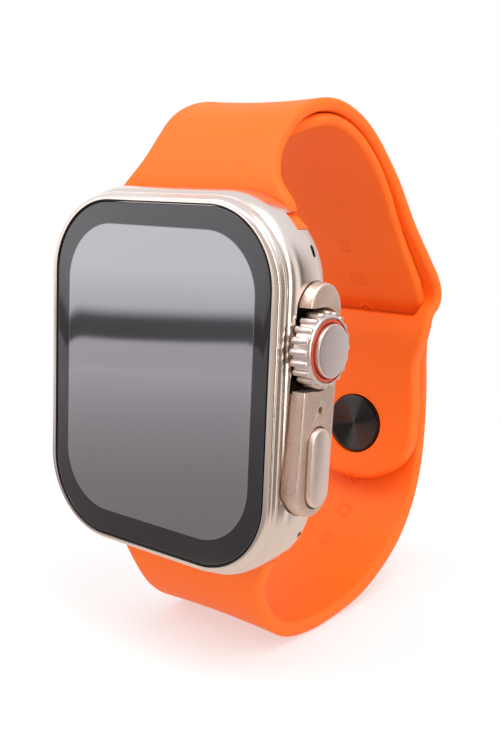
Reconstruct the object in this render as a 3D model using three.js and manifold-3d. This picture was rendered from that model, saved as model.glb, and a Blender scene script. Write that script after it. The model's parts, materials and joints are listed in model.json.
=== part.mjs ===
// A running watch with a metal case, a side crown and a soft two-part band.
//
// Units are millimetres.  +X is the crown side, +Z points to twelve o'clock and +Y goes from
// the cover glass to the wrist.  The origin is the middle of the flat sensor window that rests
// on the skin.  Depths are measured backwards from the face of the cover glass, so everything
// hangs in one group that is shifted by the depth of the watch.
import * as THREE from 'three';
import { mergeVertices } from 'three/addons/utils/BufferGeometryUtils.js';
import Module from 'manifold-3d';

const wasm = await Module();
wasm.setup();

// ---------------------------------------------------------------- driving dimensions
const WATCH_DEPTH = 14.2; // glass face to sensor window
const CASE_HALF_W = 20.8;
const CASE_HALF_H = 24.6;
const CASE_CORNER = 12;
const CASE_BACK = 11; // depth of the flat rear of the metal case

const GLASS_HALF_W = 18.7;
const GLASS_HALF_H = 22.8;
const GLASS_CORNER = 9.9;
const GLASS_THICK = 1.5;
const GASKET_WALL = 0.3;
const SLIP = 0.1; // gap between pieces that only touch
const FIT = 0.3; // gap round pieces that move or are cut to one another

const CAVITY_HALF_W = 17.8;
const CAVITY_HALF_H = 19.2; // stops short of the band channels
const CAVITY_CORNER = 8;
const REAR_OPENING_HALF_W = 15.2;
const REAR_OPENING_HALF_H = 17.2;

const CHANNEL = { front: 7, back: 9.9, floor: 20.4, hookFront: 5.4, hookTop: 22.4 };

const CROWN = { depth: 5.7, z: 6.28, inner: 21.05, face: 23.7, r: 4.8, valley: 0.42, teeth: 20 };
const CROWN_CAP = { r: 3.3, base: 23.1, face: 24.3 };
const CROWN_RING = { inner: 3.4, outer: 3.85, base: 23.1, face: 23.8 };
const CROWN_STEM_R = 1;
const CROWN_POCKET_R = 5.4;

const GUARD = {
  floor: 20.1, plate: 20.6, face: 22.5,
  topDepth: 6.3, topZ: 11, topR: 3.3,
  lowDepth: 5.45, lowZ: -11.15, lowR: 3.55,
};
const BUTTON = { depth: 5.85, z: -8.45, half: 5.05, r: 2.1, base: 20.7, face: 23.2 };
const ACTION = { depth: 5.85, z: 4, half: 5.6, r: 1.7, base: 20.2, face: 21.9 };
const RELEASE = { z: 20.7, halfX: 2.6, r: 0.7, base: 10.25, face: 11.2 };

const BAND_THICK = 1.8;
const TAB_THICK = 3;
const STRAP_THICK = 2.3;
const TAIL_THICK = 1.7;
const BAND_LUG_HALF = 14.5;
const TAIL_HALF = 10.8;
const SLOT = { half: 11.15, low: 6.2, high: 12.3 };
const PIN = { z: -13.3, discR: 4.9, discThick: 0.8, sunk: 0.5, shankR: 1.1, headR: 1.9, headThick: 1 };
const HOLE_R = 1.4;
const HOLE_SKIN = 0.5; // skin left at the bottom of the unused holes, on the wrist side
const HOLE_PITCH = 7.03;
// The first free holes on each side of the pin, by their heights, and how many follow on.
const HOLES = { below: -24.1, belowCount: 3, above: 12.85, aboveFirst: -1, aboveLast: 1 };

// Pieces inside the case: half sizes, corner radii and the depths of their two faces.
const DISPLAY = { halfW: 17.3, halfH: 21.3, corner: 8.6, front: 1.65, back: 2.5 };
const FRAME = { openW: 15, openH: 18.6, openCorner: 6, front: 2.6, back: 3.4 };
const BOARD = { halfW: 16.1, halfH: 18.4, corner: 7, front: 3.7, back: 4.4 };
const BATTERY = { halfW: 11.2, halfH: 12.2, corner: 1.5, front: 5.5, back: 9.4, x: -2.4, z: -4.6 };
const ANTENNA = { halfW: 16.9, halfH: 18.6, corner: 7.4, wall: 0.6, front: 8.6, back: 9.2 };
const SPEAKER = { halfW: 1.3, halfH: 3.9, corner: 0.6, front: 4.7, back: 8.4, x: -15.3, z: -9.1 };

// ---------------------------------------------------------------- finishes
function finish(color, roughness, metalness) {
  return new THREE.MeshStandardMaterial({ color, roughness, metalness });
}

const polishedMetal = finish(0xcfc4b8, 0.15, 1);
const blastedMetal = finish(0xb9ab9b, 0.42, 1);
const steel = finish(0xb8b8ba, 0.3, 1);
const glassBlack = finish(0x17161a, 0.05, 0);
const displayGrey = finish(0x3a393f, 0.3, 0);
const blackRubber = finish(0x101010, 0.7, 0);
const redRing = finish(0xd9451f, 0.4, 0);
const silicone = finish(0xff6a1f, 0.55, 0);
const ceramic = finish(0x1b1b1e, 0.25, 0);
const sapphire = finish(0x0e0e12, 0.05, 0);
const boardGreen = finish(0x1d4a33, 0.6, 0);
const pouchFoil = finish(0x2b2b2d, 0.5, 0.3);
const copper = finish(0xb56a3c, 0.35, 1);
const ferrite = finish(0x2c2a2a, 0.8, 0);
const plastic = finish(0x222226, 0.6, 0);
const darkMetal = finish(0x1c1c20, 0.3, 1);

// ---------------------------------------------------------------- solids
const watch = new THREE.Group();
watch.position.y = -WATCH_DEPTH;

function solid(geometry) {
  const plain = geometry.clone();
  plain.deleteAttribute('normal');
  plain.deleteAttribute('uv');
  const welded = mergeVertices(plain, 1e-4);
  return new wasm.Manifold(new wasm.Mesh({
    numProp: 3,
    vertProperties: new Float32Array(welded.attributes.position.array),
    triVerts: new Uint32Array(welded.index.array),
  }));
}

function geometryOf(body) {
  const mesh = body.getMesh();
  const geometry = new THREE.BufferGeometry();
  geometry.setAttribute('position', new THREE.BufferAttribute(mesh.vertProperties, 3));
  geometry.setIndex(new THREE.BufferAttribute(mesh.triVerts, 1));
  return geometry;
}

function cut(geometry, ...tools) {
  return geometryOf(tools.reduce((body, tool) => body.subtract(solid(tool)), solid(geometry)));
}

function join(geometry, ...others) {
  return geometryOf(others.reduce((body, other) => body.add(solid(other)), solid(geometry)));
}

function common(geometry, other) {
  return geometryOf(solid(geometry).intersect(solid(other)));
}

function add(name, geometry, material) {
  geometry.computeVertexNormals();
  const mesh = new THREE.Mesh(geometry, material);
  mesh.name = name;
  watch.add(mesh);
  return mesh;
}

// ---------------------------------------------------------------- outlines and slabs
function roundedRect(halfX, halfY, radius, x = 0, y = 0) {
  const shape = new THREE.Shape();
  shape.moveTo(x + halfX, y - halfY + radius);
  shape.absarc(x + halfX - radius, y + halfY - radius, radius, 0, Math.PI / 2);
  shape.absarc(x - halfX + radius, y + halfY - radius, radius, Math.PI / 2, Math.PI);
  shape.absarc(x - halfX + radius, y - halfY + radius, radius, Math.PI, 1.5 * Math.PI);
  shape.absarc(x + halfX - radius, y - halfY + radius, radius, 1.5 * Math.PI, 2 * Math.PI);
  return shape;
}

function rectangle(x0, y0, x1, y1) {
  const shape = new THREE.Shape();
  shape.moveTo(x0, y0);
  shape.lineTo(x1, y0);
  shape.lineTo(x1, y1);
  shape.lineTo(x0, y1);
  shape.closePath();
  return shape;
}

// Two arcs joined by their outer tangents, drawn as (depth, z).
function taperedPill(top, low, grow) {
  const dz = top.z - low.z;
  const dy = top.y - low.y;
  const lean = Math.atan2(dy, dz);
  const flare = Math.asin((low.r - top.r) / Math.hypot(dy, dz));
  const right = -lean + flare;
  const left = Math.PI - lean - flare;
  const shape = new THREE.Shape();
  shape.absarc(top.y, top.z, top.r + grow, right, left);
  shape.absarc(low.y, low.z, low.r + grow, left, right + 2 * Math.PI);
  return shape;
}

const AXES = {
  x: new THREE.Matrix4().makeBasis(
    new THREE.Vector3(0, 1, 0), new THREE.Vector3(0, 0, 1), new THREE.Vector3(1, 0, 0)),
  y: new THREE.Matrix4().makeBasis(
    new THREE.Vector3(0, 0, 1), new THREE.Vector3(1, 0, 0), new THREE.Vector3(0, 1, 0)),
};

function extrude(shape, depth, curveSegments) {
  return new THREE.ExtrudeGeometry(shape, { depth, bevelEnabled: false, curveSegments });
}

// A slab with its outline drawn as (depth, z), between two places along X.
function slabX(shape, x0, x1, curveSegments = 4) {
  return extrude(shape, x1 - x0, curveSegments).applyMatrix4(AXES.x).translate(x0, 0, 0);
}

// A slab with its outline drawn as (z, x), between two depths.
function slabY(shape, y0, y1, curveSegments = 3) {
  return extrude(shape, y1 - y0, curveSegments).applyMatrix4(AXES.y).translate(0, y0, 0);
}

// A rounded plate facing the wearer: half width along X, half height along Z.
function plate(halfX, halfZ, radius, y0, y1, x = 0, z = 0) {
  return slabY(roundedRect(halfZ, halfX, radius, z, x), y0, y1);
}

function block(x0, x1, y0, y1, z0, z1) {
  return new THREE.BoxGeometry(x1 - x0, y1 - y0, z1 - z0)
    .translate((x0 + x1) / 2, (y0 + y1) / 2, (z0 + z1) / 2);
}

// A turned piece on an axis along Y: points are [radius, depth].
function turnedY(points, x, z, sides = 28) {
  const profile = points.map(([r, y]) => new THREE.Vector2(r, y));
  return new THREE.LatheGeometry(profile, sides).translate(x, 0, z);
}

// A turned piece on an axis along X: points are [radius, x], listed with rising x.
function turnedX(points, depth, z, sides = 28) {
  const profile = points.map(([r, x]) => new THREE.Vector2(r, x));
  return new THREE.LatheGeometry(profile, sides).rotateZ(-Math.PI / 2).translate(0, depth, z);
}

function rod(radius, from, to) {
  return [[0, from], [radius, from], [radius, to], [0, to]];
}

function tube(inner, outer, from, to) {
  return [[inner, from], [outer, from], [outer, to], [inner, to], [inner, from]];
}

// A closed skin through rings of equal length, with flat fans on the first and the last ring.
function loft(rings) {
  const count = rings[0].length;
  const points = rings.flat();
  const faces = [];
  rings.slice(1).forEach((ring, level) => {
    for (let i = 0; i < count; i += 1) {
      const a = level * count + i;
      const b = level * count + ((i + 1) % count);
      faces.push(a, a + count, b, b, a + count, b + count);
    }
  });
  const last = points.length - count;
  for (let i = 1; i < count - 1; i += 1) {
    faces.push(0, i, i + 1);
    faces.push(last, last + i + 1, last + i);
  }
  const geometry = new THREE.BufferGeometry().setFromPoints(points);
  geometry.setIndex(faces);
  return geometry;
}

// ---------------------------------------------------------------- case
// The section of the case wall: how far each ring is drawn in, and its depth.
const CASE_SECTION = [
  [1.62, 0], [1.3, -0.12], [0.95, 0.15], [0.82, 0.9], [0.5, 1.4], [0.12, 2.6], [0, 4],
  [0, 6.4], [0.45, 8.4], [1.3, 9.8], [2.4, 10.7], [3.6, CASE_BACK],
];

function caseRing([inset, depth]) {
  const outline = roundedRect(
    CASE_HALF_W - inset, CASE_HALF_H - inset, CASE_CORNER - inset).getPoints(4);
  outline.pop();
  return outline.map((p) => new THREE.Vector3(p.x, depth, p.y));
}

function channel(side) {
  const shape = new THREE.Shape();
  const { front, back, floor, hookFront, hookTop } = CHANNEL;
  const corners = [
    [front, 26], [front, hookTop], [hookFront, hookTop], [hookFront, floor],
    [back, floor], [back, 26],
  ];
  shape.setFromPoints(corners.map(([y, z]) => new THREE.Vector2(y, side * z)));
  return slabX(shape, -25, 25);
}

function pill(halfX, radius, y0, y1, z) {
  return plate(halfX, radius, radius, y0, y1, 0, z);
}

function uprightPill(button, grow, x0, x1) {
  const outline = roundedRect(
    button.r + grow, button.half + grow, button.r + grow - 0.001, button.depth, button.z);
  return slabX(outline, x0, x1, 4);
}

function guardOutline(grow) {
  return taperedPill(
    { y: GUARD.topDepth, z: GUARD.topZ, r: GUARD.topR },
    { y: GUARD.lowDepth, z: GUARD.lowZ, r: GUARD.lowR }, grow);
}

const STEM_BORE_R = 2.2;
const PLUNGER_R = 0.7;
const CORNER_VENT = { depth: 6.8, z: 17.9, half: 0.9, r: 0.45 };
const CORNER_PINHOLE = { depth: 7, z: -18, r: 0.4 };
const REAR_SCREW = { x: 12.4, z: 14.4, headR: 0.9, shankR: 0.5 };
const SPEAKER_SLOT = { depth: 5.9, half: 1.6, r: 0.35, first: -11.8, pitch: 1.8 };
const SPEAKER_SLOTS = 4;

function speakerSlot(index) {
  const z = SPEAKER_SLOT.first + index * SPEAKER_SLOT.pitch;
  const outline = roundedRect(SPEAKER_SLOT.half, SPEAKER_SLOT.r, SPEAKER_SLOT.r - 0.001,
    SPEAKER_SLOT.depth, z);
  return slabX(outline, -23, -17, 3);
}

const glassSeat = GLASS_HALF_W + GASKET_WALL + 2 * SLIP;
const glassSeatH = GLASS_HALF_H + GASKET_WALL + 2 * SLIP;
const glassSeatCorner = GLASS_CORNER + GASKET_WALL + 2 * SLIP;
const ledge = GLASS_THICK + 0.25;

add('case_body', cut(
  loft(CASE_SECTION.map(caseRing)),
  plate(glassSeat, glassSeatH, glassSeatCorner, -1, ledge),
  plate(CAVITY_HALF_W, 21.9, 9, ledge - 0.1, 3.6),
  plate(CAVITY_HALF_W, CAVITY_HALF_H, CAVITY_CORNER, 3.5, 9.8),
  plate(REAR_OPENING_HALF_W, REAR_OPENING_HALF_H, 6, 9.7, 12),
  channel(1),
  channel(-1),
  slabX(guardOutline(0.2), GUARD.floor - SLIP, 25, 6),
  turnedX(rod(CROWN_POCKET_R, GUARD.floor - SLIP, 25), CROWN.depth, CROWN.z),
  turnedX(rod(STEM_BORE_R, 15, 21), CROWN.depth, CROWN.z, 20),
  turnedX(rod(PLUNGER_R + 0.25, 15, 21), BUTTON.depth, BUTTON.z, 16),
  uprightPill(ACTION, 0.2, -25, -ACTION.base + 0.55),
  turnedX(rod(PLUNGER_R + 0.25, -21, -15), ACTION.depth, ACTION.z, 16),
  slabX(roundedRect(CORNER_VENT.r, CORNER_VENT.half, CORNER_VENT.r - 0.001,
    CORNER_VENT.depth, CORNER_VENT.z), 15, 22, 4),
  turnedX(rod(CORNER_PINHOLE.r, 15, 22), CORNER_PINHOLE.depth, CORNER_PINHOLE.z, 12),
  pill(RELEASE.halfX + 0.2, RELEASE.r + 0.2, 9.4, 12, RELEASE.z),
  pill(RELEASE.halfX + 0.2, RELEASE.r + 0.2, 9.4, 12, -RELEASE.z),
  ...Array.from({ length: SPEAKER_SLOTS }, (_, i) => speakerSlot(i)),
), polishedMetal);

// ---------------------------------------------------------------- front
add('cover_glass', plate(GLASS_HALF_W, GLASS_HALF_H, GLASS_CORNER, 0, GLASS_THICK), glassBlack);

add('glass_gasket', cut(
  plate(GLASS_HALF_W + SLIP + GASKET_WALL, GLASS_HALF_H + SLIP + GASKET_WALL,
    GLASS_CORNER + SLIP + GASKET_WALL, 0.12, ledge - SLIP),
  plate(GLASS_HALF_W + SLIP, GLASS_HALF_H + SLIP, GLASS_CORNER + SLIP, -1, 3),
), blackRubber);

add('display_panel', plate(
  DISPLAY.halfW, DISPLAY.halfH, DISPLAY.corner, DISPLAY.front, DISPLAY.back), displayGrey);

add('display_frame', cut(
  plate(DISPLAY.halfW, DISPLAY.halfH, DISPLAY.corner, FRAME.front, FRAME.back),
  plate(FRAME.openW, FRAME.openH, FRAME.openCorner, FRAME.front - 1, FRAME.back + 1),
), plastic);

// ---------------------------------------------------------------- inside
add('main_board', join(
  plate(BOARD.halfW, BOARD.halfH, BOARD.corner, BOARD.front, BOARD.back),
  block(-9, 3, BOARD.back - SLIP, 5.3, 5, 16), // processor can
  block(6, 11, BOARD.back - SLIP, 5.1, -15, -9), // charging circuit
), boardGreen);

add('battery', plate(BATTERY.halfW, BATTERY.halfH, BATTERY.corner, BATTERY.front, BATTERY.back,
  BATTERY.x, BATTERY.z), pouchFoil);

add('antenna', cut(
  plate(ANTENNA.halfW, ANTENNA.halfH, ANTENNA.corner, ANTENNA.front, ANTENNA.back),
  plate(ANTENNA.halfW - ANTENNA.wall, ANTENNA.halfH - ANTENNA.wall,
    ANTENNA.corner - ANTENNA.wall, ANTENNA.front - 1, ANTENNA.back + 1),
), copper);

add('vibration_motor', block(3.5, 13.6, 5.6, 8.3, 9.4, 13.4), steel);

add('speaker', plate(SPEAKER.halfW, SPEAKER.halfH, SPEAKER.corner, SPEAKER.front, SPEAKER.back,
  SPEAKER.x, SPEAKER.z), plastic);
add('speaker_mesh', slabX(rectangle(4.2, -12.7, 7.6, -5.5), -17.3, -17.1), steel);

add('microphone', block(15.6, 16.9, 5.3, 6.9, -2.1, -0.5), plastic);

// ---------------------------------------------------------------- rear
const DOME_R = 13.6;
add('rear_cover', cut(
  join(
    plate(REAR_OPENING_HALF_W - SLIP, REAR_OPENING_HALF_H - SLIP, 5.9, 10.3, 11.4),
    turnedY([[0, 10.6], [14.9, 10.6], [14.9, 11.5], [14.2, 12.4], [DOME_R, 12.9], [0, 12.9]],
      0, 0, 32),
  ),
  turnedY(rod(11.4, 11.6, 14), 0, 0, 32),
  turnedY(rod(9.4, 9, 14), 0, 0, 32),
  ...[[1, 1], [1, -1], [-1, 1], [-1, -1]].flatMap(([sx, sz]) => [
    turnedY(rod(REAR_SCREW.headR + SLIP, 10.85, 12), sx * REAR_SCREW.x, sz * REAR_SCREW.z, 12),
    turnedY(rod(REAR_SCREW.shankR + SLIP, 10, 12), sx * REAR_SCREW.x, sz * REAR_SCREW.z, 12),
  ]),
), ceramic);

add('rear_seal', cut(
  plate(REAR_OPENING_HALF_W - SLIP, REAR_OPENING_HALF_H - SLIP, 5.9, 9.95, 10.2),
  plate(REAR_OPENING_HALF_W - 1.2, REAR_OPENING_HALF_H - 1.2, 4.8, 9, 12),
), blackRubber);

add('sensor_window', turnedY(
  [[0, 11.7], [11.2, 11.7], [11.2, 13.1], [10.4, 13.8], [8.6, WATCH_DEPTH], [0, WATCH_DEPTH]],
  0, 0, 32), sapphire);

add('sensor_board', turnedY(
  [[0, 10.9], [6.2, 10.9], [6.2, 11.4], [0, 11.4]], 0, 0, 32), boardGreen);
add('charging_coil', turnedY(tube(6.6, 9.1, 10.6, 11.4), 0, 0, 32), copper);
add('coil_shield', turnedY(rod(9.1, 9.7, 10.2), 0, 0, 32), ferrite);

[[1, 1], [1, -1], [-1, 1], [-1, -1]].forEach(([sx, sz], index) => {
  const profile = [
    [0, 10.4], [REAR_SCREW.shankR, 10.4], [REAR_SCREW.shankR, 10.95], [REAR_SCREW.headR, 10.95],
    [REAR_SCREW.headR, 11.35], [0, 11.35],
  ];
  add(`rear_screw_${index + 1}`,
    turnedY(profile, sx * REAR_SCREW.x, sz * REAR_SCREW.z, 12), steel);
});

// ---------------------------------------------------------------- crown side
const MIC_HOLE = { depth: 6.1, z: -1.25, r: 0.45 };

add('side_guard', cut(
  slabX(guardOutline(0), GUARD.floor, GUARD.face, 6),
  turnedX(rod(CROWN_POCKET_R, GUARD.plate, 25), CROWN.depth, CROWN.z),
  block(GUARD.plate, 25, 0, CROWN.depth, CROWN.z - 5.3, CROWN.z + 5.3),
  turnedX(rod(STEM_BORE_R, 19, 21), CROWN.depth, CROWN.z, 20),
  uprightPill(BUTTON, 0.2, 19, 25),
  turnedX(rod(MIC_HOLE.r, 19, 25), MIC_HOLE.depth, MIC_HOLE.z, 12),
), blastedMetal);

function crownOutline() {
  const shape = new THREE.Shape();
  const pitch = (2 * Math.PI) / CROWN.teeth;
  for (let i = 0; i < CROWN.teeth; i += 1) {
    const steps = [[-0.3, -CROWN.valley], [-0.2, -0.1], [0, 0], [0.2, -0.1], [0.3, -CROWN.valley]];
    steps.forEach(([turn, inset], step) => {
      const angle = (i + turn) * pitch;
      const y = CROWN.depth + (CROWN.r + inset) * Math.cos(angle);
      const z = CROWN.z + (CROWN.r + inset) * Math.sin(angle);
      if (i === 0 && step === 0) {
        shape.moveTo(y, z);
      } else {
        shape.lineTo(y, z);
      }
    });
  }
  shape.closePath();
  return shape;
}

add('crown_knob', cut(
  slabX(crownOutline(), CROWN.inner, CROWN.face),
  turnedX(rod(CROWN_RING.outer + SLIP, CROWN_RING.base - SLIP, 25), CROWN.depth, CROWN.z),
  turnedX(rod(CROWN_STEM_R + SLIP, 20, 25), CROWN.depth, CROWN.z, 16),
), blastedMetal);

add('crown_ring', turnedX(
  tube(CROWN_RING.inner, CROWN_RING.outer, CROWN_RING.base, CROWN_RING.face),
  CROWN.depth, CROWN.z), redRing);

add('crown_cap', turnedX(
  [[0, CROWN_CAP.base], [CROWN_CAP.r, CROWN_CAP.base], [CROWN_CAP.r, CROWN_CAP.face - 0.15],
    [CROWN_CAP.r - 0.15, CROWN_CAP.face], [0, CROWN_CAP.face]],
  CROWN.depth, CROWN.z), steel);

add('crown_stem', turnedX(rod(CROWN_STEM_R, 16.9, CROWN_CAP.base - SLIP),
  CROWN.depth, CROWN.z, 16), steel);
add('crown_bush', turnedX(tube(1.35, STEM_BORE_R - SLIP, 18.2, 20.2),
  CROWN.depth, CROWN.z, 20), steel);
add('crown_seal', turnedX(tube(1.15, 1.9, 17.6, 18.1), CROWN.depth, CROWN.z, 20), blackRubber);
add('crown_pusher', turnedX(rod(1.2, 16.3, 16.8), CROWN.depth, CROWN.z, 20), plastic);
add('crown_switch', block(14.3, 15.7, CROWN.depth - 0.9, CROWN.depth + 0.9,
  CROWN.z - 1.6, CROWN.z + 1.6), plastic);

function sideButton(button, side) {
  const body = side > 0
    ? uprightPill(button, 0, button.base, button.face)
    : uprightPill(button, 0, -button.face, -button.base);
  const plunger = side > 0 ? rod(PLUNGER_R, 17, button.base + 0.1)
    : rod(PLUNGER_R, -button.base - 0.1, -17);
  return join(body, turnedX(plunger, button.depth, button.z, 16));
}

add('side_button', sideButton(BUTTON, 1), blastedMetal);
add('side_button_switch', block(15, 16.4, BUTTON.depth - 0.9, BUTTON.depth + 0.9,
  BUTTON.z - 1.6, BUTTON.z + 1.6), plastic);
add('action_button', sideButton(ACTION, -1), blastedMetal);
add('action_button_switch', block(-16.4, -15, ACTION.depth - 0.9, ACTION.depth + 0.9,
  ACTION.z - 1.6, ACTION.z + 1.6), plastic);

// ---------------------------------------------------------------- band
// Outer faces of the two straps as curves of (depth, z).
function bandCurve(points) {
  return new THREE.CatmullRomCurve3(
    points.map(([y, z]) => new THREE.Vector3(0, y, z)), false, 'centripetal');
}

function outwards(curve, u) {
  const tangent = curve.getTangentAt(u);
  return new THREE.Vector3(0, -tangent.z, tangent.y);
}

const upperCurve = bandCurve([
  [7.3, 22.6], [7.35, 24.9], [7.8, 26.7], [8.8, 28.7], [11, 32.1], [14.2, 35.4], [18.8, 37.4],
  [24.4, 37.9], [30.4, 36.3], [35.8, 33], [40.7, 28.2], [45.5, 21.6], [50.3, 16.1],
  [53.4, 12.4], [54.2, 9.6], [53.3, 7.6], [51.6, 6.2], [51.3, 4], [51.9, 1], [52.6, -3],
  [53.3, -9], [53.2, -14], [52.6, -18.5], [51.5, -23.2],
]);

// Walks along a curve to the last place where it passes a height.
function placeAt(curve, z) {
  const samples = 800;
  for (let i = samples - 1; i > 0; i -= 1) {
    const here = curve.getPointAt(i / samples);
    const next = curve.getPointAt((i + 1) / samples);
    if ((here.z - z) * (next.z - z) <= 0) {
      return i / samples;
    }
  }
  return 0;
}

function blendSteps(u, steps) {
  const index = steps.findIndex(([at]) => u < at);
  if (index < 0) {
    return steps[steps.length - 1][1];
  }
  if (index === 0) {
    return steps[0][1];
  }
  const [u0, low] = steps[index - 1];
  const [u1, high] = steps[index];
  return low + (high - low) * THREE.MathUtils.smoothstep(u, u0, u1);
}

// The tail lies against the inside of the upper strap, so its path is that strap's, drawn in.
const tailInset = BAND_THICK + FIT;
const tailStart = placeAt(upperCurve, 13.6);
const TAIL_STEPS = 12;
const TAIL_REACH = 0.52;
const tailPath = Array.from({ length: TAIL_STEPS + 1 }, (_, step) => {
  const u = tailStart - (TAIL_REACH * step) / TAIL_STEPS;
  return upperCurve.getPointAt(u).addScaledVector(outwards(upperCurve, u), -tailInset);
});

const lowerCurve = bandCurve([
  [7.3, -22.6], [7.35, -24.9], [7.8, -27.4], [9.2, -30.8], [12.3, -35], [16.9, -38],
  [23.4, -39.2], [31, -38.9],
  [38, -37.7], [44.4, -34.9], [49.4, -31.2], [53, -26.4], [55.3, -20.2], [56, -13], [55.6, -6],
  [54.9, -1], [54.7, 3], [54.1, 6.6], [52.6, 9.5],
  ...tailPath.map((p) => [p.y, p.z]),
]);

// A strap as a skin round its curve: outer face on the curve, edges eased by a small bevel.
function strapSkin(curve, side, from, steps, halfWidth, thickness) {
  const bevel = 0.45;
  const rings = [];
  for (let i = 0; i <= steps; i += 1) {
    const u = from + ((1 - from) * i) / steps;
    const at = curve.getPointAt(u);
    const out = outwards(curve, u).multiplyScalar(side);
    const t = thickness(u);
    const w = halfWidth(u);
    const section = [
      [-w, -bevel], [-w + bevel, 0], [w - bevel, 0], [w, -bevel],
      [w, -t + bevel], [w - bevel, -t], [-w + bevel, -t], [-w, -t + bevel],
    ];
    rings.push(section.map(([x, n]) => at.clone().addScaledVector(out, n).setX(x)));
  }
  return loft(side < 0 ? rings : rings.map((ring) => [...ring].reverse()));
}

// Rounded end of a strap: the half width shrinks along an ellipse over its last stretch.
function roundedEnd(u, start, half) {
  if (u <= start) {
    return half;
  }
  const t = (u - start) / (1 - start);
  return Math.max(half * Math.sqrt(Math.max(0, 1 - t * t)), 1.2);
}

const upperTab = placeAt(upperCurve, 3);
const upperTip = placeAt(upperCurve, -14.5);
function upperHalf(u) {
  const straight = blendSteps(u, [
    [0, BAND_LUG_HALF], [0.02, BAND_LUG_HALF], [0.065, 11.6], [0.1, 11.1], [0.4, 11.1],
    [0.57, 12.4], [0.69, 13.3], [0.735, 13.2], [upperTab, 11],
  ]);
  return roundedEnd(u, upperTip, straight);
}
function upperThick(u) {
  return blendSteps(u, [
    [0, 2.3], [0.02, 2.3], [0.1, BAND_THICK], [0.7, BAND_THICK], [upperTab, TAB_THICK],
  ]);
}

const lowerSlot = placeAt(lowerCurve, 6);
const lowerTip = 0.945;
function lowerHalf(u) {
  const straight = blendSteps(u, [
    [0, BAND_LUG_HALF], [0.015, BAND_LUG_HALF], [0.045, 11.9], [0.12, 11.5], [0.3, 11.1],
    [0.5, TAIL_HALF],
  ]);
  return roundedEnd(u, lowerTip, straight);
}
function lowerThick(u) {
  return blendSteps(u, [[0, 2.3], [0.5, STRAP_THICK], [lowerSlot, 2.1], [0.75, TAIL_THICK]]);
}

const LUG_REACH = 18;
const LUG_SET_IN = 0.7;

// The hooked end that slides into the case channel, as wide as the case where it sits.
function strapLug(side) {
  const shape = new THREE.Shape();
  const corners = [
    [7.3, 24.2], [7.3, 22], [5.7, 22], [5.7, 20.7], [9.6, 20.7], [9.6, 24.2],
  ];
  shape.setFromPoints(corners.map(([y, z]) => new THREE.Vector2(y, side * z)));
  return common(slabX(shape, -LUG_REACH, LUG_REACH), plate(
    CASE_HALF_W - LUG_SET_IN, CASE_HALF_H - LUG_SET_IN, CASE_CORNER - LUG_SET_IN, 0, 12));
}

const LATCH = {
  halfX: 3.2, base: 8.7, plate: 9.4, tip: 10.15, toothHalfX: 1.6, low: 20.9, high: 22,
};
function latchPocket(side) {
  const z0 = Math.min(side * 20, side * (LATCH.high + 0.25));
  const z1 = Math.max(side * 20, side * (LATCH.high + 0.25));
  return block(-LATCH.halfX - 0.25, LATCH.halfX + 0.25, LATCH.base - 0.7, 10.2, z0, z1);
}

const pinOuter = lowerCurve.getPointAt(placeAt(lowerCurve, PIN.z)).y;
const tabInner = upperCurve.getPointAt(placeAt(upperCurve, PIN.z)).y - TAB_THICK;

function pinBore(radius) {
  return turnedY(rod(radius, 46, 60), 0, PIN.z, 16);
}

add('upper_strap', cut(
  join(strapSkin(upperCurve, 1, 0, 66, upperHalf, upperThick), strapLug(1)),
  block(-SLOT.half, SLOT.half, 44, 60, SLOT.low, SLOT.high),
  latchPocket(1),
  pinBore(PIN.shankR + FIT),
  turnedY(rod(PIN.discR + 0.2, 44, tabInner + PIN.sunk + SLIP), 0, PIN.z),
), silicone);

// A hole drilled from the outer face: right through for the pin, blind elsewhere.
const pinAt = placeAt(lowerCurve, PIN.z);
function strapHole(u) {
  const out = outwards(lowerCurve, u).multiplyScalar(-1);
  const depth = u === pinAt ? 6 : lowerThick(u) - HOLE_SKIN;
  const bore = new THREE.CylinderGeometry(HOLE_R, HOLE_R, depth + 1, 12);
  bore.applyQuaternion(new THREE.Quaternion().setFromUnitVectors(
    new THREE.Vector3(0, 1, 0), out));
  const at = lowerCurve.getPointAt(u).addScaledVector(out, (1 - depth) / 2);
  return bore.translate(at.x, at.y, at.z);
}

const holeStep = HOLE_PITCH / lowerCurve.getLength();
const holes = [strapHole(pinAt)];
for (let k = 0; k < HOLES.belowCount; k += 1) {
  holes.push(strapHole(placeAt(lowerCurve, HOLES.below) - k * holeStep));
}
for (let k = HOLES.aboveFirst; k <= HOLES.aboveLast; k += 1) {
  holes.push(strapHole(placeAt(lowerCurve, HOLES.above) + k * holeStep));
}

add('lower_strap', cut(
  join(strapSkin(lowerCurve, -1, 0, 84, lowerHalf, lowerThick), strapLug(-1)),
  latchPocket(-1),
  ...holes,
), silicone);

// The pin is riveted through the tab: a disc let into the wrist side and a button head outside.
const discBack = tabInner + PIN.sunk;
const discFace = discBack - PIN.discThick;
add('pin_disc', turnedY(
  [[0, discFace], [PIN.discR - 0.25, discFace], [PIN.discR, discFace + 0.25],
    [PIN.discR, discBack], [0, discBack]],
  0, PIN.z, 32), darkMetal);

const headBase = pinOuter + FIT;
const headTop = headBase + PIN.headThick;
add('pin_stud', turnedY(
  [[0, discBack + SLIP], [PIN.shankR, discBack + SLIP], [PIN.shankR, headBase],
    [PIN.headR, headBase], [PIN.headR, headTop - 0.4], [PIN.headR - 0.4, headTop],
    [0, headTop]],
  0, PIN.z, 16), darkMetal);

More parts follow.
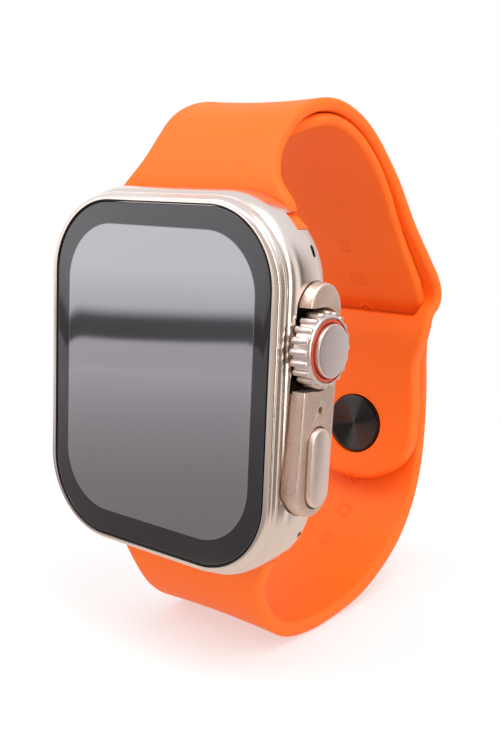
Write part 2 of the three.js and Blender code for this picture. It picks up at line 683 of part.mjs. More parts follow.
// ---------------------------------------------------------------- band releases
[['upper', 1], ['lower', -1]].forEach(([name, side]) => {
  const { halfX, base, plate: top, tip, toothHalfX, low, high } = LATCH;
  const z = (lowEdge, highEdge) => [
    Math.min(side * lowEdge, side * highEdge), Math.max(side * lowEdge, side * highEdge)];
  add(`${name}_release`, pill(RELEASE.halfX, RELEASE.r, RELEASE.base, RELEASE.face,
    side * RELEASE.z), blastedMetal);
  add(`${name}_latch`, join(
    block(-halfX, halfX, base, top, ...z(low, high)),
    block(-toothHalfX, toothHalfX, top - 0.1, tip, ...z(low, low + 0.5)),
  ), steel);
  add(`${name}_latch_spring`, block(-halfX + 0.4, halfX - 0.4, base - 0.6, base - 0.45,
    ...z(low + 0.1, high - 0.1)), steel);
});

export default watch;
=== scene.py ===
# %% [markdown]
# # A running watch, made piece by piece
#
# The watch is a polished metal case with a flat dark glass, a toothed crown in a matte guard,
# and a soft band in two halves: one half ends in a tab with a slot, the other goes through the
# slot and tucks under.  The mechanical frame is loaded first.  It fixes where every piece is,
# so the fine pieces below only add shape and finish.

import json
import math

import bmesh
import bpy
from mathutils import Matrix, Vector

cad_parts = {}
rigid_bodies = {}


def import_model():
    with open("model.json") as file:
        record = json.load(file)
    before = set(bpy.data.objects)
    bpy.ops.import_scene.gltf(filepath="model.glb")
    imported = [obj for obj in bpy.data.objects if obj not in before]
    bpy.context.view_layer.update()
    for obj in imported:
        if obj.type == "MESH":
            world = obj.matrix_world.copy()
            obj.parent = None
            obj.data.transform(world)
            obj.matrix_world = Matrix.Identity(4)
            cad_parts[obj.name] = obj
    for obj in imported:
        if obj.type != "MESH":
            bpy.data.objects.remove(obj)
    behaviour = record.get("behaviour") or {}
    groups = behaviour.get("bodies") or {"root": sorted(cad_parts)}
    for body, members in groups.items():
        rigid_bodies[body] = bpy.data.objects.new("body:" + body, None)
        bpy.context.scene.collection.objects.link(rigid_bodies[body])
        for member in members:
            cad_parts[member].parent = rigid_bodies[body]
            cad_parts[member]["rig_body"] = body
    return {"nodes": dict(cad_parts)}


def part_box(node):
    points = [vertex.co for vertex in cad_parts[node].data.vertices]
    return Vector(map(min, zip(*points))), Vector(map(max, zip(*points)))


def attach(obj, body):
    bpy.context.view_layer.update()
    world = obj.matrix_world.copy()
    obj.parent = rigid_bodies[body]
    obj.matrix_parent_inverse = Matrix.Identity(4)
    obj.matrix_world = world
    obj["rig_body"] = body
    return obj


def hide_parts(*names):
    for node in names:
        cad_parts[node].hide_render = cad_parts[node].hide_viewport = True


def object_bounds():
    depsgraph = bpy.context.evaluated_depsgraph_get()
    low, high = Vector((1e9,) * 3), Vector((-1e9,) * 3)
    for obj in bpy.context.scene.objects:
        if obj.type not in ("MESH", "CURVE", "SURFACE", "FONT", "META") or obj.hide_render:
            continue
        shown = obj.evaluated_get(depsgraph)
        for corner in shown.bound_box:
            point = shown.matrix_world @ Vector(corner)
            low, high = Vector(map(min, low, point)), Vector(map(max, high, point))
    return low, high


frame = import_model()
cad_low, cad_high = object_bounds()
NODES = frame["nodes"]
print("frame with", len(NODES), "nodes, box", tuple(cad_low), tuple(cad_high))

# %% [markdown]
# ## A workbench measured from the glass
#
# A watch drawing counts depth backwards from the face of the glass, in millimetres.  Blender
# works in metres, so one small function turns a drawing place into a scene place, and every
# piece below is drawn with it.

# %% Places on the drawing
MM = 0.001
GLASS_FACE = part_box("cover_glass")[0].y


def at(x, depth, z):
    return Vector((x * MM, GLASS_FACE + depth * MM, z * MM))


def half_size(node):
    low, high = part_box(node)
    return (high - low) / (2 * MM)


def depth_of(node):
    low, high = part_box(node)
    return (low.y - GLASS_FACE) / MM, (high.y - GLASS_FACE) / MM


def middle_of(node):
    low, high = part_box(node)
    middle = (low + high) / (2 * MM)
    return middle.x, middle.y - GLASS_FACE / MM, middle.z


print("glass half size", half_size("cover_glass"))

# %% [markdown]
# ## Skins, turned pieces and cuts
#
# Nearly every hard piece is a stack of outlines: the same closed line drawn a little smaller
# or further along, with faces between.  This keeps edges rounded where a machined edge is
# broken, which is what catches the light.  Openings are cut afterwards with Boolean
# modifiers, because a slot or a bore crosses the outlines.

# %% Mesh helpers
def place_object(name, data):
    thing = bpy.data.objects.new(name, data)
    bpy.context.scene.collection.objects.link(thing)
    return thing


def flat_piece(name, points, faces):
    data = bpy.data.meshes.new(name)
    data.from_pydata([tuple(point) for point in points], [], faces)
    return place_object(name, data)


def new_piece(name, mesh_maker):
    mesh = bmesh.new()
    mesh_maker(mesh)
    bmesh.ops.remove_doubles(mesh, verts=mesh.verts, dist=1e-7)
    bmesh.ops.recalc_face_normals(mesh, faces=mesh.faces)
    data = bpy.data.meshes.new(name)
    mesh.to_mesh(data)
    mesh.free()
    return place_object(name, data)


def skin(name, rings):
    """A closed skin through rings of points, with a flat face on each end."""
    def make(mesh):
        rows = [[mesh.verts.new(point) for point in ring] for ring in rings]
        count = len(rows[0])
        for low, high in zip(rows, rows[1:]):
            for i in range(count):
                j = (i + 1) % count
                mesh.faces.new((low[i], low[j], high[j], high[i]))
        mesh.faces.new(rows[0])
        mesh.faces.new(rows[-1])
    return new_piece(name, make)


def turned(name, profile, place, sides=96):
    """A closed profile of (radius, along) turned round an axis; place puts (a, along, b)."""
    def make(mesh):
        loops = []
        for radius, along in profile:
            if radius < 1e-6:
                loops.append([mesh.verts.new(place(0, along, 0))])
                continue
            loops.append([
                mesh.verts.new(place(
                    radius * math.cos(2 * math.pi * i / sides), along,
                    radius * math.sin(2 * math.pi * i / sides)))
                for i in range(sides)])
        for low, high in zip(loops, loops[1:]):
            for i in range(sides):
                j = (i + 1) % sides
                corners = [low[i % len(low)], low[j % len(low)],
                           high[j % len(high)], high[i % len(high)]]
                unique = list(dict.fromkeys(corners))
                if len(unique) > 2:
                    mesh.faces.new(unique)
    return new_piece(name, make)


def along_y(x, z):
    return lambda a, along, b: at(x + a, along, z + b)


def along_x(depth, z):
    return lambda a, along, b: at(along, depth + a, z + b)


def shade(piece, angle=34):
    piece.data.shade_smooth()
    piece.data.set_sharp_from_angle(angle=math.radians(angle))
    return piece


def settle(piece):
    """Applies the piece's modifiers, so that it is a plain mesh."""
    graph = bpy.context.evaluated_depsgraph_get()
    data = bpy.data.meshes.new_from_object(piece.evaluated_get(graph), depsgraph=graph)
    data.name = piece.name
    piece.modifiers.clear()
    piece.data = data
    return piece


def cut(piece, *cutters, operation="DIFFERENCE"):
    for cutter in cutters:
        step = piece.modifiers.new("cut", "BOOLEAN")
        step.operation = operation
        step.solver = "MANIFOLD"
        step.object = cutter
    settle(piece)
    for cutter in cutters:
        bpy.data.objects.remove(cutter)
    return piece


def ease(piece, width, angle=40, segments=2):
    """Breaks every edge sharper than the angle with a small rounding."""
    step = piece.modifiers.new("ease", "BEVEL")
    step.width = width * MM
    step.segments = segments
    step.limit_method = "ANGLE"
    step.angle_limit = math.radians(angle)
    step.harden_normals = False
    return settle(piece)


# %% Outlines
def arc(centre, radius, start, end, steps):
    return [(centre[0] + radius * math.cos(start + (end - start) * i / steps),
             centre[1] + radius * math.sin(start + (end - start) * i / steps))
            for i in range(steps + 1)]


def between(a, b, steps):
    return [(a[0] + (b[0] - a[0]) * i / steps, a[1] + (b[1] - a[1]) * i / steps)
            for i in range(1, steps)]


def rounded(half_a, half_b, corner, steps=24, side_steps=10, a=0, b=0):
    """A rounded rectangle about (a, b)."""
    points = []
    for turn, (sign_a, sign_b) in enumerate([(1, 1), (-1, 1), (-1, -1), (1, -1)]):
        centre = (a + sign_a * (half_a - corner), b + sign_b * (half_b - corner))
        bend = arc(centre, corner, turn * math.pi / 2, (turn + 1) * math.pi / 2, steps)
        if points:
            points += between(points[-1], bend[0], side_steps)
        points += bend
    return points + between(points[-1], points[0], side_steps)


def two_ends(top, low, grow, steps=28, side_steps=16):
    """Two round ends of different size, each (depth, z, radius), joined by straight flanks."""
    depth_run = top[0] - low[0]
    z_run = top[1] - low[1]
    lean = math.atan2(depth_run, z_run)
    flare = math.asin((low[2] - top[2]) / math.hypot(depth_run, z_run))
    start = flare - lean
    end = math.pi - lean - flare
    first = arc(top[:2], top[2] + grow, start, end, steps)
    second = arc(low[:2], low[2] + grow, end, start + 2 * math.pi, steps)
    return (first + between(first[-1], second[0], side_steps)
            + second + between(second[-1], first[0], side_steps))


def slab_y(name, outline, front, back):
    return skin(name, [[at(x, depth, z) for x, z in outline] for depth in (front, back)])


def slab_x(name, outline, inner, outer):
    return skin(name, [[at(x, depth, z) for depth, z in outline] for x in (inner, outer)])


def rod_x(name, depth, z, radius, inner, outer, sides=48):
    profile = [(0, inner), (radius, inner), (radius, outer), (0, outer)]
    return turned(name, profile, along_x(depth, z), sides)


def rod_y(name, x, z, radius, front, back, sides=48):
    profile = [(0, front), (radius, front), (radius, back), (0, back)]
    return turned(name, profile, along_y(x, z), sides)


# %% Curves through a few points
def smooth_line(points, per_span=12):
    """A centripetal curve through points of any dimension, sampled evenly in each span."""
    knots = [Vector(point) for point in points]
    knots = [2 * knots[0] - knots[1]] + knots + [2 * knots[-1] - knots[-2]]
    line = []
    for a, b, c, d in zip(knots, knots[1:], knots[2:], knots[3:]):
        t1 = math.sqrt((b - a).length)
        t2 = t1 + math.sqrt((c - b).length)
        t3 = t2 + math.sqrt((d - c).length)
        for i in range(per_span):
            t = t1 + (t2 - t1) * i / per_span
            ab = a.lerp(b, t / t1)
            bc = b.lerp(c, (t - t1) / (t2 - t1))
            cd = c.lerp(d, (t - t2) / (t3 - t2))
            low = ab.lerp(bc, t / t2)
            high = bc.lerp(cd, (t - t1) / (t3 - t1))
            line.append(low.lerp(high, (t - t1) / (t2 - t1)))
    return line + [Vector(points[-1])]


class Route:
    """A line measured by its own length, from 0 at its start to 1 at its end."""

    def __init__(self, line):
        self.line = line
        self.marks = [0.0]
        for a, b in zip(line, line[1:]):
            self.marks.append(self.marks[-1] + (b - a).length)
        self.length = self.marks[-1]

    def at(self, u):
        goal = min(max(u, 0), 1) * self.length
        low, high = 0, len(self.marks) - 1
        while high - low > 1:
            half = (low + high) // 2
            if self.marks[half] <= goal:
                low = half
            else:
                high = half
        span = self.marks[high] - self.marks[low]
        return self.line[low].lerp(self.line[high], (goal - self.marks[low]) / span)

    def out(self, u, side):
        ahead = self.at(u + 0.004) - self.at(u - 0.004)
        return Vector((-ahead.y, ahead.x)).normalized() * side

    def where(self, z):
        """The last place along the line that passes this height."""
        for low, high, point, after in reversed(list(zip(
                self.marks, self.marks[1:], self.line, self.line[1:]))):
            if (point.y - z) * (after.y - z) <= 0 and point.y != after.y:
                part = (z - point.y) / (after.y - point.y)
                return (low + part * (high - low)) / self.length
        return 0.0


def between_steps(u, steps, bend=lambda t: t):
    """A value drawn straight from one (place, value) to the next, unless t is bent."""
    if u <= steps[0][0]:
        return steps[0][1]
    for (u0, low), (u1, high) in zip(steps, steps[1:]):
        if u < u1:
            return low + (high - low) * bend((u - u0) / (u1 - u0))
    return steps[-1][1]


def softened(u, steps, spread):
    """The straight drawn value with its corners rounded over a spread."""
    return sum(between_steps(u + spread * k / 4, steps) for k in range(-4, 5)) / 9


def eased_steps(u, steps):
    """A value that leaves and reaches every step gently."""
    return between_steps(u, steps, lambda t: t * t * (3 - 2 * t))


# %% [markdown]
# ## Fitting a piece to the frame
#
# A fine piece takes the place of its plain node: it moves with the same body, and the plain
# one is hidden.  Doing that in one function means that no piece is left without its body,
# its finish or its slot.

# %% Fit a piece
def fit(piece, node, material, angle=34):
    shade(piece, angle)
    piece.data.materials.clear()
    piece.data.materials.append(material)
    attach(piece, NODES[node]["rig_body"])
    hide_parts(node)
    print(f"{piece.name}: {len(piece.data.polygons)} faces in place of {node}")
    return piece


def dress(node, material):
    NODES[node].data.materials.clear()
    NODES[node].data.materials.append(material)


# %% [markdown]
# ## Shader maths as plain sums
#
# Node materials get hard to read when every product is four lines long.  A small class
# stands for one output of a node, so that a mask can be written as a sum.

# %% Shader helper
class Wire:
    """One output socket in a material, with arithmetic."""

    def __init__(self, tree, socket):
        self.tree = tree
        self.socket = socket

    def clamp(self, low=0.0):
        """Keeps a value between low and 1."""
        return self.maths("MAXIMUM", low).maths("MINIMUM", 1.0)

    def maths(self, operation, *others):
        values = (self,) + others
        return add_node(self.tree, "ShaderNodeMath", {"operation": operation},
                        dict(enumerate(values)))

    def __add__(self, other):
        return self.maths("ADD", other)

    __radd__ = __add__

    def __sub__(self, other):
        return self.maths("SUBTRACT", other)

    def __rsub__(self, other):
        return self * -1 + other

    def __mul__(self, other):
        return self.maths("MULTIPLY", other)

    __rmul__ = __mul__

    def __truediv__(self, other):
        return self.maths("DIVIDE", other)


def add_node(tree, kind, settings=None, inputs=None, output=0):
    node = tree.nodes.new(kind)
    for name, value in (settings or {}).items():
        if name == "stops":
            while len(node.color_ramp.elements) < len(value):
                node.color_ramp.elements.new(0.5)
            for stop, (place, colour) in zip(node.color_ramp.elements, value):
                stop.position = place
                stop.color = (*colour, 1)
        else:
            setattr(node, name, value)
    for key, value in (inputs or {}).items():
        if isinstance(value, Wire):
            tree.links.new(value.socket, node.inputs[key])
        else:
            node.inputs[key].default_value = value
    return Wire(tree, node.outputs[output])


def mix_colour(mask, low, high):
    """low where the mask is 0 and high where it is 1."""
    colours = [c if isinstance(c, Wire) else (*c, 1) for c in (low, high)]
    return add_node(mask.tree, "ShaderNodeMix", {"data_type": "RGBA"},
                    {0: mask, 6: colours[0], 7: colours[1]}, output=2)


def place_of(tree):
    """The place on the piece as three wires in millimetres, and as one vector."""
    spot = add_node(tree, "ShaderNodeTexCoord", output="Object")
    parts = [add_node(tree, "ShaderNodeSeparateXYZ", {}, {0: spot}, output=i) * 1000
             for i in range(3)]
    return parts, spot


def grain_on(tree, size, detail=2.0):
    """Fine random grain of about this size in millimetres."""
    spot = place_of(tree)[1]
    return add_node(tree, "ShaderNodeTexNoise", {},
                    {"Vector": spot, "Scale": 1000 / size, "Detail": detail})


def start_material(name, constants):
    material = bpy.data.materials.new(name)
    material.use_nodes = True
    tree = material.node_tree
    shader = tree.nodes["Principled BSDF"]
    for socket, value in constants.items():
        shader.inputs[socket].default_value = value
    return material, tree, shader


def connect(tree, wire, shader, socket):
    tree.links.new(wire.socket, shader.inputs[socket])


def add_bump(tree, shader, height, strength, distance):
    bump = add_node(tree, "ShaderNodeBump", {},
                    {"Height": height, "Strength": strength, "Distance": distance * MM})
    connect(tree, bump, shader, "Normal")


# %% [markdown]
# ## Finishes
#
# Four metals do most of the work: the polished case, the fine-blasted guard, the satin crown
# and the plain steel inside.  They differ in how rough they are and in the grain, not much
# in colour.  Each roughness wanders a little, because even a polished face is not perfect.
# The guard's metal also has shade painted near black at the floor of the crown pocket.

# %% Metals
# Painted shade for a recess: how far it fades out above the floor and beside the recess, and the
# near black colour painted at the floor.
POCKET_SHADE_FADE = {"floor": 0.25, "side": 0.1}
PAINTED_POCKET_SHADE = (0.012, 0.01, 0.009)


def metal(name, colour, roughness, wander, grain_size, bump=0.0, mottle=0.0, recess=None):
    """A bare metal; a recess (x of its floor, middle z, half height) gets painted shade, dark at
    the bottom.
    """
    material, tree, shader = start_material(name, {"Base Color": (*colour, 1), "Metallic": 1.0})
    grain = grain_on(tree, grain_size)
    connect(tree, (grain - 0.5) * wander + roughness, shader, "Roughness")
    if mottle:
        paint = mix_colour(grain, [c * (1 - mottle) for c in colour],
                           [min(1, c * (1 + mottle)) for c in colour])
        # Painted shade: the colour goes to near black at the recess floor, within the recess
        # height, and fades back to the metal above and beside it.
        if recess:
            (x, _, z), _ = place_of(tree)
            above = (x - recess[0]) / POCKET_SHADE_FADE["floor"]
            beside = ((z - recess[1]).maths("ABSOLUTE") - recess[2]) / POCKET_SHADE_FADE["side"]
            outside_painted_shade = above.maths("MAXIMUM", beside).clamp()
            paint = mix_colour(outside_painted_shade, PAINTED_POCKET_SHADE, paint)
        connect(tree, paint, shader, "Base Color")
    if bump:
        add_bump(tree, shader, grain, bump, 0.02)
    return material


POLISHED = metal("polished case metal", (0.86, 0.77, 0.71), 0.22, 0.03, 3.0)
BLASTED = metal("blasted champagne metal", (0.76, 0.6, 0.52), 0.42, 0.5, 0.22, bump=0.9,
                mottle=0.22)
# Painted shade: the guard's plate at the floor of the crown pocket, beside the crown, is painted
# near black in place of the shadow in that gap; the mottle is the metal's own random tone.
SHADED_GUARD_METAL = metal("blasted guard metal", (0.8, 0.63, 0.545), 0.42, 0.5, 0.22, bump=0.9,
                    mottle=0.24, recess=(20.62, middle_of("crown_knob")[2], 5.3))
BLASTED_KEY = metal("blasted button metal", (0.89, 0.74, 0.67), 0.36, 0.3, 0.22, bump=0.5,
                    mottle=0.1)
SATIN = metal("satin crown metal", (0.78, 0.68, 0.65), 0.3, 0.12, 0.2, bump=0.3, mottle=0.15)
STEEL = metal("plain steel", (0.6, 0.6, 0.61), 0.3, 0.1, 0.4)
COPPER = metal("copper winding", (0.8, 0.42, 0.24), 0.35, 0.2, 0.3)
BLACK_METAL = metal("black turned metal", (0.06, 0.058, 0.06), 0.2, 0.05, 0.5)


# %% Plastics, rubber and boards
def plastic(name, colour, roughness, grain_size=0.4, bump=0.0, constants=None):
    settings = {"Base Color": (*colour, 1)}
    settings.update(constants or {})
    material, tree, shader = start_material(name, settings)
    grain = grain_on(tree, grain_size)
    connect(tree, (grain - 0.5) * 0.12 + roughness, shader, "Roughness")
    connect(tree, mix_colour(grain, [c * 0.94 for c in colour],
                             [min(1, c * 1.05) for c in colour]), shader, "Base Color")
    if bump:
        add_bump(tree, shader, grain, bump, 0.02)
    return material


SILICONE = plastic("orange silicone", (1.0, 0.148, 0.007), 0.55, 0.3, 0.08, {
    "Subsurface Weight": 0.15, "Subsurface Radius": (1.0, 0.3, 0.1), "Subsurface Scale": 0.0012,
    "Specular IOR Level": 0.28})
SEAL = plastic("black seal rubber", (0.012, 0.012, 0.013), 0.5)
INNER = plastic("moulded black", (0.03, 0.03, 0.033), 0.5)
CERAMIC = plastic("dark ceramic", (0.022, 0.022, 0.025), 0.16)
BOARD = plastic("circuit board", (0.03, 0.16, 0.09), 0.45)
POUCH = plastic("battery wrap", (0.06, 0.06, 0.065), 0.4)
FERRITE = plastic("sintered shield", (0.035, 0.033, 0.033), 0.7)
RED_LACQUER = plastic("red lacquer ring", (0.55, 0.06, 0.015), 0.4)

# %% [markdown]
# The cover glass is black glass over a screen.  The printed border is nearly black, and the
# screen under it throws back a grey mirror image, so it looks lighter.  A rounded rectangle
# worked out from the place on the glass tells the two apart.

# %% Dark glass
SCREEN = {"half_x": 16.39, "half_z": 19.73, "corner": 8.0, "rise": 0.19}
BORDER_COLOUR = (0.01, 0.008, 0.009)
SCREEN_COLOUR = (0.38, 0.365, 0.385)


def rounded_mask(tree, half_x, half_z, corner, rise, soft):
    (x, _, z), _ = place_of(tree)
    run_x = x.maths("ABSOLUTE") - (half_x - corner)
    run_z = (z - rise).maths("ABSOLUTE") - (half_z - corner)
    out_x = run_x.maths("MAXIMUM", 0.0)
    out_z = run_z.maths("MAXIMUM", 0.0)
    outside = (out_x * out_x + out_z * out_z).maths("SQRT")
    inside = run_x.maths("MAXIMUM", run_z).maths("MINIMUM", 0.0)
    distance = outside + inside - corner
    return (0.5 - distance / soft).clamp()


def dark_glass():
    material, tree, shader = start_material("dark cover glass", {
        "Coat Weight": 1.0, "Coat Roughness": 0.02, "Coat IOR": 1.5, "IOR": 1.5})
    screen = rounded_mask(tree, SCREEN["half_x"], SCREEN["half_z"], SCREEN["corner"],
                          SCREEN["rise"], 0.15)
    connect(tree, mix_colour(screen, BORDER_COLOUR, SCREEN_COLOUR), shader, "Base Color")
    connect(tree, screen * 0.9, shader, "Metallic")
    smudge = grain_on(tree, 9.0, 3.0)
    connect(tree, screen * -0.14 + smudge * 0.03 + 0.18, shader, "Roughness")
    return material


GLASS = dark_glass()

# %% [markdown]
# The rear window shows a ring of small dark lenses round a round one.  They lie under the
# flat glass, so they are drawn in the finish and not in the mesh.

# %% Sensor glass
LENSES = 8
LENS_RING = {"inner": 3.3, "outer": 7.0}


def sensor_glass():
    material, tree, shader = start_material("sensor glass", {
        "Coat Weight": 1.0, "Coat Roughness": 0.03, "Roughness": 0.1})
    (x, _, z), _ = place_of(tree)
    radius = (x * x + z * z).maths("SQRT")
    turn = z.maths("ARCTAN2", x) * (LENSES / (2 * math.pi))
    saw = (turn + 20.0).maths("FRACT")
    wedge = (0.5 - (saw - 0.5).maths("ABSOLUTE")).maths("GREATER_THAN", 0.09)
    ring = (radius.maths("GREATER_THAN", LENS_RING["inner"])
            * radius.maths("LESS_THAN", LENS_RING["outer"]) * wedge)
    centre = radius.maths("LESS_THAN", LENS_RING["inner"] - 0.9)
    lens = ring.maths("MAXIMUM", centre)
    connect(tree, mix_colour(lens, (0.012, 0.012, 0.015), (0.05, 0.055, 0.06)),
            shader, "Base Color")
    return material


SENSOR = sensor_glass()
print(len(bpy.data.materials), "finishes made")

# %% [markdown]
# ## The case
#
# The case is one milled block.  Its section has a raised rim round the glass, a thin bead, a
# groove, and then a full side that rolls over to the flat back.  Four curves describe it, each
# point giving how far the outline is drawn in and how deep it lies.  The full side stands a
# little prouder at the top and bottom than the rim does.

# %% Case body
CASE = {"half_x": 20.8, "half_z": 24.6, "corner": 12.0}
BODY_SWELL = 0.4
SECTION = [
    [(2.2, 0.3), (2.08, 0.05), (1.86, -0.1), (1.5, -0.15), (1.14, -0.08), (0.9, 0.1),
     (0.8, 0.36)],
    [(0.78, 0.42), (0.6, 0.8), (0.53, 1.1), (0.55, 1.32)],
    [(0.96, 1.42), (0.96, 1.5)],
    [(0.84, 1.6), (0.58, 1.9), (0.3, 2.45), (0.08, 3.3), (0, 4.3), (0, 6.3), (0.12, 7.4),
     (0.5, 8.55), (1.3, 9.8), (2.4, 10.7), (3.6, 11.0)],
]


def case_rings():
    rings = []
    for stroke in SECTION:
        swell = BODY_SWELL if stroke is SECTION[-1] else 0
        for inset, depth in smooth_line(stroke, 5):
            outline = rounded(CASE["half_x"] - inset, CASE["half_z"] + swell - inset,
                              CASE["corner"] - inset, 30, 22)
            rings.append([at(x, depth, z) for x, z in outline])
    return rings


GLASS_HALF = half_size("cover_glass")
GLASS_CORNER = 9.9
SEAT_GAP = 0.3
CHANNEL = {"front": 7.0, "back": 9.9, "floor": 20.4, "hook_front": 5.4, "hook_top": 22.4}
GUARD = {"top": (6.3, 11.0, 3.3), "low": (5.45, -11.15, 3.55)}
GUARD_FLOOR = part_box("side_guard")[0].x / MM
_, CROWN_DEPTH, CROWN_Z = middle_of("crown_knob")
BUTTON = middle_of("side_button")[1:]
ACTION = middle_of("action_button")[1:]
RELEASE_Z = middle_of("upper_release")[2]


def band_channel(side):
    c = CHANNEL
    corners = [(c["front"], 26), (c["front"], c["hook_top"]), (c["hook_front"], c["hook_top"]),
               (c["hook_front"], c["floor"]), (c["back"], c["floor"]), (c["back"], 26)]
    return slab_x("channel", [(depth, side * z) for depth, z in corners], -25, 25)


def upright(depth, z, half, radius):
    return rounded(radius, half, radius - 0.001, 16, 8, depth, z)


case = skin("case", case_rings())
cut(case,
    slab_y("seat", rounded(GLASS_HALF.x + SEAT_GAP, GLASS_HALF.z + SEAT_GAP,
                           GLASS_CORNER + SEAT_GAP), -1, 1.75),
    slab_y("screen room", rounded(17.8, 21.9, 9), 1.7, 3.6),
    slab_y("cavity", rounded(17.8, 19.2, 8), 3.5, 9.8),
    slab_y("rear opening", rounded(15.2, 17.2, 6), 9.7, 12),
    band_channel(1),
    band_channel(-1),
    slab_x("guard seat", two_ends(GUARD["top"], GUARD["low"], 0.2), GUARD_FLOOR - 0.1, 25),
    rod_x("stem bore", CROWN_DEPTH, CROWN_Z, 2.2, 15, 21),
    rod_x("plunger bore", *BUTTON, 0.95, 15, 21),
    slab_x("action seat", upright(*ACTION, 5.8, 1.9), -25, -19.65),
    rod_x("action bore", *ACTION, 0.95, -21, -15),
    slab_x("corner vent", upright(6.8, 17.9, 0.75, 0.34), 17.9, 22),
    rod_x("pinhole", 7, -18, 0.4, 15, 22),
    slab_y("upper release seat", rounded(2.8, 0.9, 0.899, a=0, b=RELEASE_Z), 9.4, 12),
    slab_y("lower release seat", rounded(2.8, 0.9, 0.899, a=0, b=-RELEASE_Z), 9.4, 12),
    *[slab_x("speaker slot", rounded(1.6, 0.35, 0.349, 8, 4, 5.9, -11.8 + 1.8 * i), -23, -17)
      for i in range(4)])
fit(case, "case_body", POLISHED, 28)

# %% [markdown]
# ## Glass, seal and rear
#
# The glass is a flat plate whose edge is rounded over, so it gets extra outlines near its
# face.  The rear is a shallow dark dome with the round sensor window in it.

# %% Glass and seal
def plate_skin(name, half_x, half_z, corner, levels):
    """levels are (drawn in, depth)."""
    rings = []
    for inset, depth in levels:
        outline = rounded(half_x - inset, half_z - inset, max(corner - inset, 0.2), 30, 16)
        rings.append([at(x, depth, z) for x, z in outline])
    return skin(name, rings)


def eased_levels(front, back, ease_by, steps=6):
    """A plate's edge with a quarter round at the front face."""
    turns = [math.pi / 2 * i / steps for i in range(steps + 1)]
    levels = [(ease_by * (1 - math.sin(t)), front + ease_by * (1 - math.cos(t))) for t in turns]
    return levels + [(0, back)]


glass_front, glass_back = depth_of("cover_glass")
glass = plate_skin("glass", GLASS_HALF.x, GLASS_HALF.z, GLASS_CORNER,
                   eased_levels(glass_front, glass_back, 0.14))
fit(glass, "cover_glass", GLASS, 28)

seal_front, seal_back = depth_of("glass_gasket")
SEAL_OUT = 0.26
SEAL_HOLE = 0.1
seal = plate_skin("glass_seal", GLASS_HALF.x + SEAL_OUT, GLASS_HALF.z + SEAL_OUT,
                  GLASS_CORNER + SEAL_OUT,
                  eased_levels(seal_front, seal_back, 0.12, 3))
cut(seal, slab_y("seal hole", rounded(GLASS_HALF.x + SEAL_HOLE, GLASS_HALF.z + SEAL_HOLE,
                                      GLASS_CORNER + SEAL_HOLE, 30, 16), -1, 3))
fit(seal, "glass_gasket", SEAL)

# %% Rear cover and window
cover_half = half_size("rear_cover")
cover = plate_skin("rear_plate", cover_half.x, cover_half.z, 5.9,
                   [(0, 10.3), (0, 11.3), (0.1, 11.4)])
dome_profile = [(0, 10.6), (14.9, 10.6), (14.9, 11.4)]
dome_profile += [tuple(p) for p in smooth_line([(14.8, 11.6), (14.2, 12.4), (13.6, 12.82)], 6)]
dome_profile += [(13.4, 12.9), (0, 12.9)]
cut(cover, turned("dome", dome_profile, along_y(0, 0)), operation="UNION")
screws = [middle_of(f"rear_screw_{i}") for i in (1, 2, 3, 4)]
cut(cover,
    rod_y("window seat", 0, 0, 11.4, 11.6, 14, 96),
    rod_y("sensor room", 0, 0, 9.4, 9, 14, 96),
    *[rod_y("head seat", x, z, 1.0, 10.85, 12) for x, _, z in screws],
    *[rod_y("shank hole", x, z, 0.6, 10, 12) for x, _, z in screws])
fit(cover, "rear_cover", CERAMIC)

window_front, window_back = depth_of("sensor_window")
window_profile = [(0, window_front), (11.2, window_front)]
window_profile += [tuple(p) for p in smooth_line(
    [(11.2, 13.0), (10.9, 13.45), (10.2, 13.86), (9.2, 14.13), (8.6, window_back)], 6)]
window_profile += [(0, window_back)]
fit(turned("window", window_profile, along_y(0, 0), 128), "sensor_window", SENSOR)

# %% [markdown]
# ## Rear screws with Geometry Nodes
#
# Each screw head has a six-lobed recess.  The lobes repeat round the head, so a small node
# tree puts cutters on a circle, and the same tree serves all four screws: only its named
# sizes differ.

# %% Geometry Nodes helper
def node_tree(name, sizes):
    """A geometry tree with named number inputs and one geometry output."""
    tree = bpy.data.node_groups.new(name, "GeometryNodeTree")
    for label, kind, value in sizes:
        socket = tree.interface.new_socket(label, in_out="INPUT", socket_type=kind)
        socket.default_value = value
    tree.interface.new_socket("Geometry", in_out="OUTPUT", socket_type="NodeSocketGeometry")
    return tree


def run_tree(name, tree, values):
    """Runs a tree on an empty mesh and returns the result as a plain piece."""
    piece = place_object(name, bpy.data.meshes.new(name))
    step = piece.modifiers.new("build", "NODES")
    step.node_group = tree
    for item in tree.interface.items_tree:
        if item.in_out == "INPUT" and item.name in values:
            step[item.identifier] = values[item.name]
    return settle(piece)


def end_tree(tree, points, shape, turn, material):
    """Sets a copy of the shape on each point, paints them and gives them out as one mesh."""
    copies = add_node(tree, "GeometryNodeInstanceOnPoints", {},
                      {"Points": points, "Instance": shape, "Rotation": turn})
    solid = add_node(tree, "GeometryNodeRealizeInstances", {}, {"Geometry": copies})
    painted = add_node(tree, "GeometryNodeSetMaterial", {},
                       {"Geometry": solid, "Material": material})
    out = tree.nodes.new("NodeGroupOutput")
    tree.links.new(painted.socket, out.inputs[0])
    return tree


